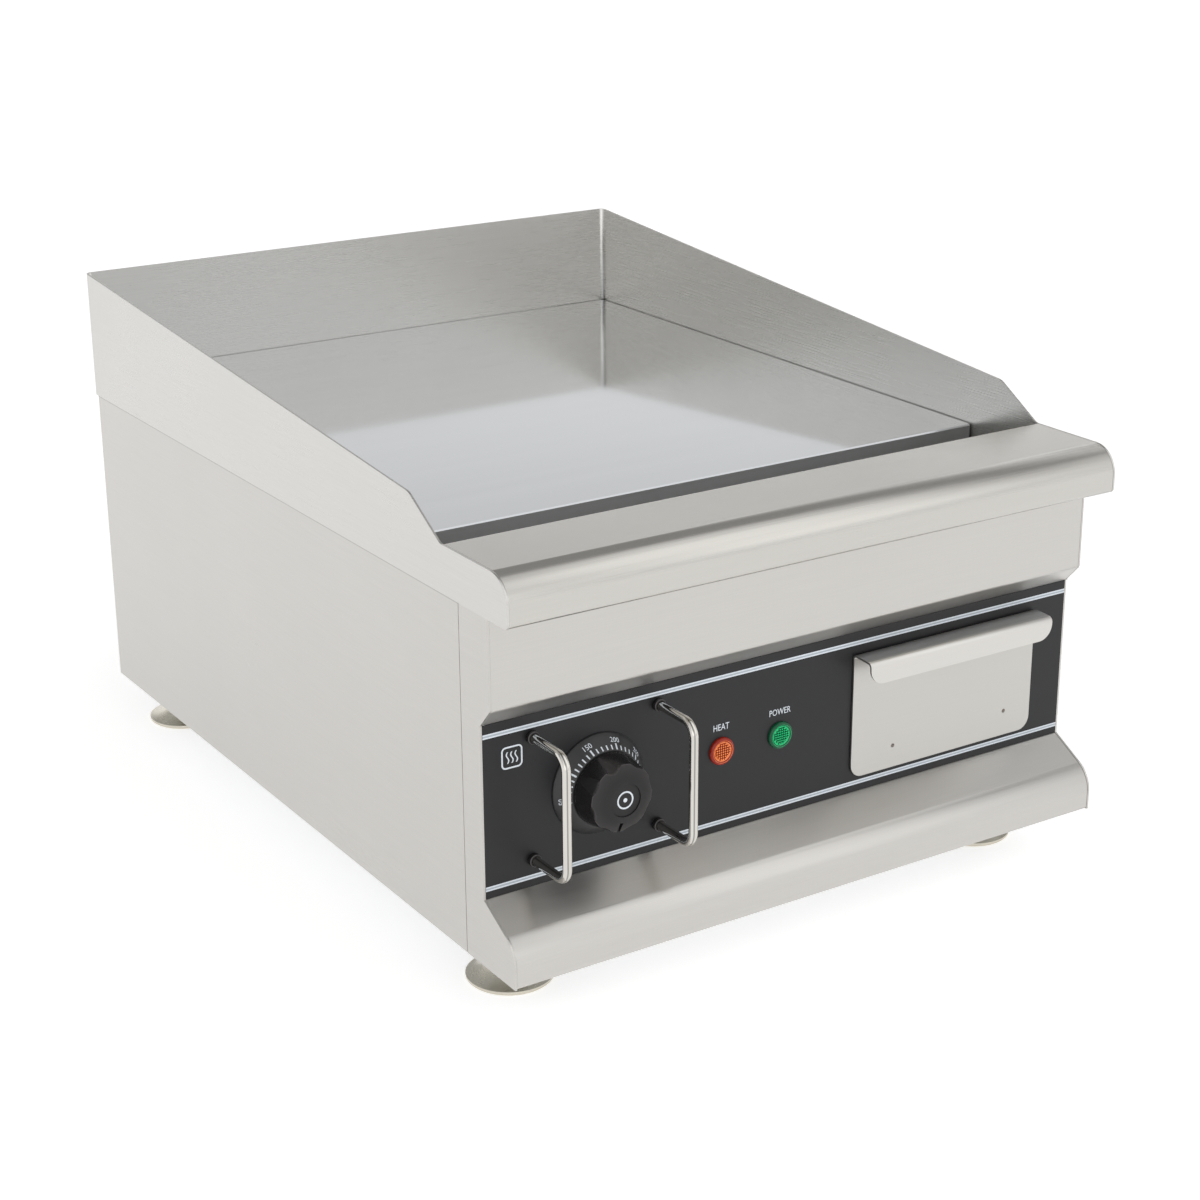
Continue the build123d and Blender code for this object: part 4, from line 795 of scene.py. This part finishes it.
for lamp_node, lamp_slot in (("heat_lamp_lens", "amber_lens"), ("power_lamp_lens", "green_lens")):
    lamp_low, lamp_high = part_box(lamp_node)
    lamp_centre = Vector(((lamp_low.x + lamp_high.x) / 2, PANEL_FRONT, (lamp_low.z + lamp_high.z) / 2))
    profile = [(radius * MM, height * MM) for radius, height in LENS_PROFILE]
    neck = [((6.2 * MM), -(lamp_high.y - PANEL_FRONT)), (6.2 * MM, 0.0)]
    lens_piece = add_piece(
        lamp_node.replace("_lens", "_cap"),
        *merge([turned_mesh(neck + profile, lamp_centre), waffle(lamp_centre)]),
        lamp_slot,
        "root",
    )
    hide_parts(lamp_node)

# ---------------------------------------------------------------- spot welds on the drawer's front
WELD_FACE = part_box("drawer_tray")[0].y - 1.2 * MM
WELD_PROFILE = [(1.7, -0.05), (1.6, 0.06), (1.2, 0.15), (0.95, 0.05), (0.5, 0.02), (0.05, 0.02)]
WELD_RING = [(1.25, 0.10), (1.2, 0.20), (0.75, 0.20), (0.7, 0.02)]
for weld_name, weld_x, weld_z in (("spot_weld_left", 70.0, 93.0), ("spot_weld_right", 154.0, 95.0)):
    weld_centre = Vector((weld_x * MM, WELD_FACE, weld_z * MM))
    profile = [(radius * MM, height * MM) for radius, height in WELD_PROFILE]
    add_piece(weld_name, *turned_mesh(profile, weld_centre, 32), "drawer_stainless", "drawer", smooth=True)
    ring_profile = [(radius * MM, height * MM) for radius, height in WELD_RING]
    ring_name = weld_name.replace("weld", "weld_ring")
    add_piece(ring_name, *turned_mesh(ring_profile, weld_centre, 32), "element_steel", "drawer", smooth=True)


# ---------------------------------------------------------------- floor, light and camera
def make_floor():
    """A wide plain white floor."""
    half = 20.0
    mesh = bpy.data.meshes.new("floor")
    corners = [(-half, -half, 0), (half, -half, 0), (half, half, 0), (-half, half, 0)]
    mesh.from_pydata(corners, [], [[0, 1, 2, 3]])
    floor = bpy.data.objects.new("floor", mesh)
    bpy.context.scene.collection.objects.link(floor)
    material, tree, shader = new_material("floor_white")
    shader.inputs["Base Color"].default_value = (0.8, 0.8, 0.8, 1.0)
    shader.inputs["Roughness"].default_value = 1.0
    shader.inputs["Specular IOR Level"].default_value = 0.0
    shader.inputs["Emission Color"].default_value = (1.0, 1.0, 1.0, 1.0)
    shader.inputs["Emission Strength"].default_value = 0.54
    floor.data.materials.append(material)


def make_light(name, place, aim, width, height, power, colour=(1.0, 1.0, 1.0)):
    """A soft rectangular lamp at a place, turned towards a point."""
    data = bpy.data.lights.new(name, "AREA")
    data.shape = "RECTANGLE"
    data.size = width
    data.size_y = height
    data.energy = power
    data.color = colour
    lamp = bpy.data.objects.new(name, data)
    bpy.context.scene.collection.objects.link(lamp)
    lamp.location = place
    lamp.rotation_euler = (Vector(aim) - Vector(place)).to_track_quat("-Z", "Y").to_euler()


def make_world(horizon, zenith, glows):
    """A white studio that grows darker overhead, with broad soft boxes: (strength, direction, edge) each."""
    world = bpy.data.worlds.new("studio")
    bpy.context.scene.world = world
    world.use_nodes = True
    tree = world.node_tree
    background = tree.nodes["Background"]
    source = tree.nodes.new("ShaderNodeTexCoord")
    axes = tree.nodes.new("ShaderNodeSeparateXYZ")
    tree.links.new(source.outputs["Generated"], axes.inputs["Vector"])
    strength = span(tree, axes.outputs["Z"], horizon, zenith, 0.24, 0.52)
    for glow_strength, direction, edge in glows:
        facing = tree.nodes.new("ShaderNodeVectorMath")
        facing.operation = "DOT_PRODUCT"
        tree.links.new(source.outputs["Generated"], facing.inputs[0])
        facing.inputs[1].default_value = Vector(direction).normalized()
        glow = span(tree, facing.outputs["Value"], 0.0, glow_strength, edge, 0.97)
        strength = math_node(tree, "ADD", strength, glow)
    background.inputs["Color"].default_value = (1.0, 1.0, 1.0, 1.0)
    tree.links.new(strength, background.inputs["Strength"])


CAMERA_PLACE = (-0.741, -1.196, 0.633)
CAMERA_AZIMUTH = math.radians(-32.8)
CAMERA_ELEVATION = math.radians(20.0)
CAMERA_ROLL = math.radians(-0.3)
CAMERA_LENS = 70.7

make_floor()
FRONT_BOX = (0.95, (0.45, -0.55, 0.75), 0.75)
CAMERA_SIDE_BOX = (0.7, (-0.5, -0.8, 0.3), 0.78)
REAR_BOX = (0.32, (-0.55, 0.8, 0.35), 0.75)
make_world(1.0, 0.35, (FRONT_BOX, CAMERA_SIDE_BOX, REAR_BOX))
middle = (cad_low + cad_high) / 2
make_light("key_left", (-2.4, -1.0, 2.6), middle, 2.4, 2.4, 8)

camera_data = bpy.data.cameras.new("camera")
camera_data.lens = CAMERA_LENS
camera_data.sensor_width = 36.0
camera = bpy.data.objects.new("camera", camera_data)
bpy.context.scene.collection.objects.link(camera)
camera.location = CAMERA_PLACE
camera_direction = Vector(
    (
        -math.sin(CAMERA_AZIMUTH) * math.cos(CAMERA_ELEVATION),
        math.cos(CAMERA_AZIMUTH) * math.cos(CAMERA_ELEVATION),
        -math.sin(CAMERA_ELEVATION),
    )
)
upright = camera_direction.to_track_quat("-Z", "Y")
camera.rotation_euler = (upright @ Euler((0.0, 0.0, CAMERA_ROLL)).to_quaternion()).to_euler()
bpy.context.scene.camera = camera
bpy.context.scene.view_settings.view_transform = "Standard"
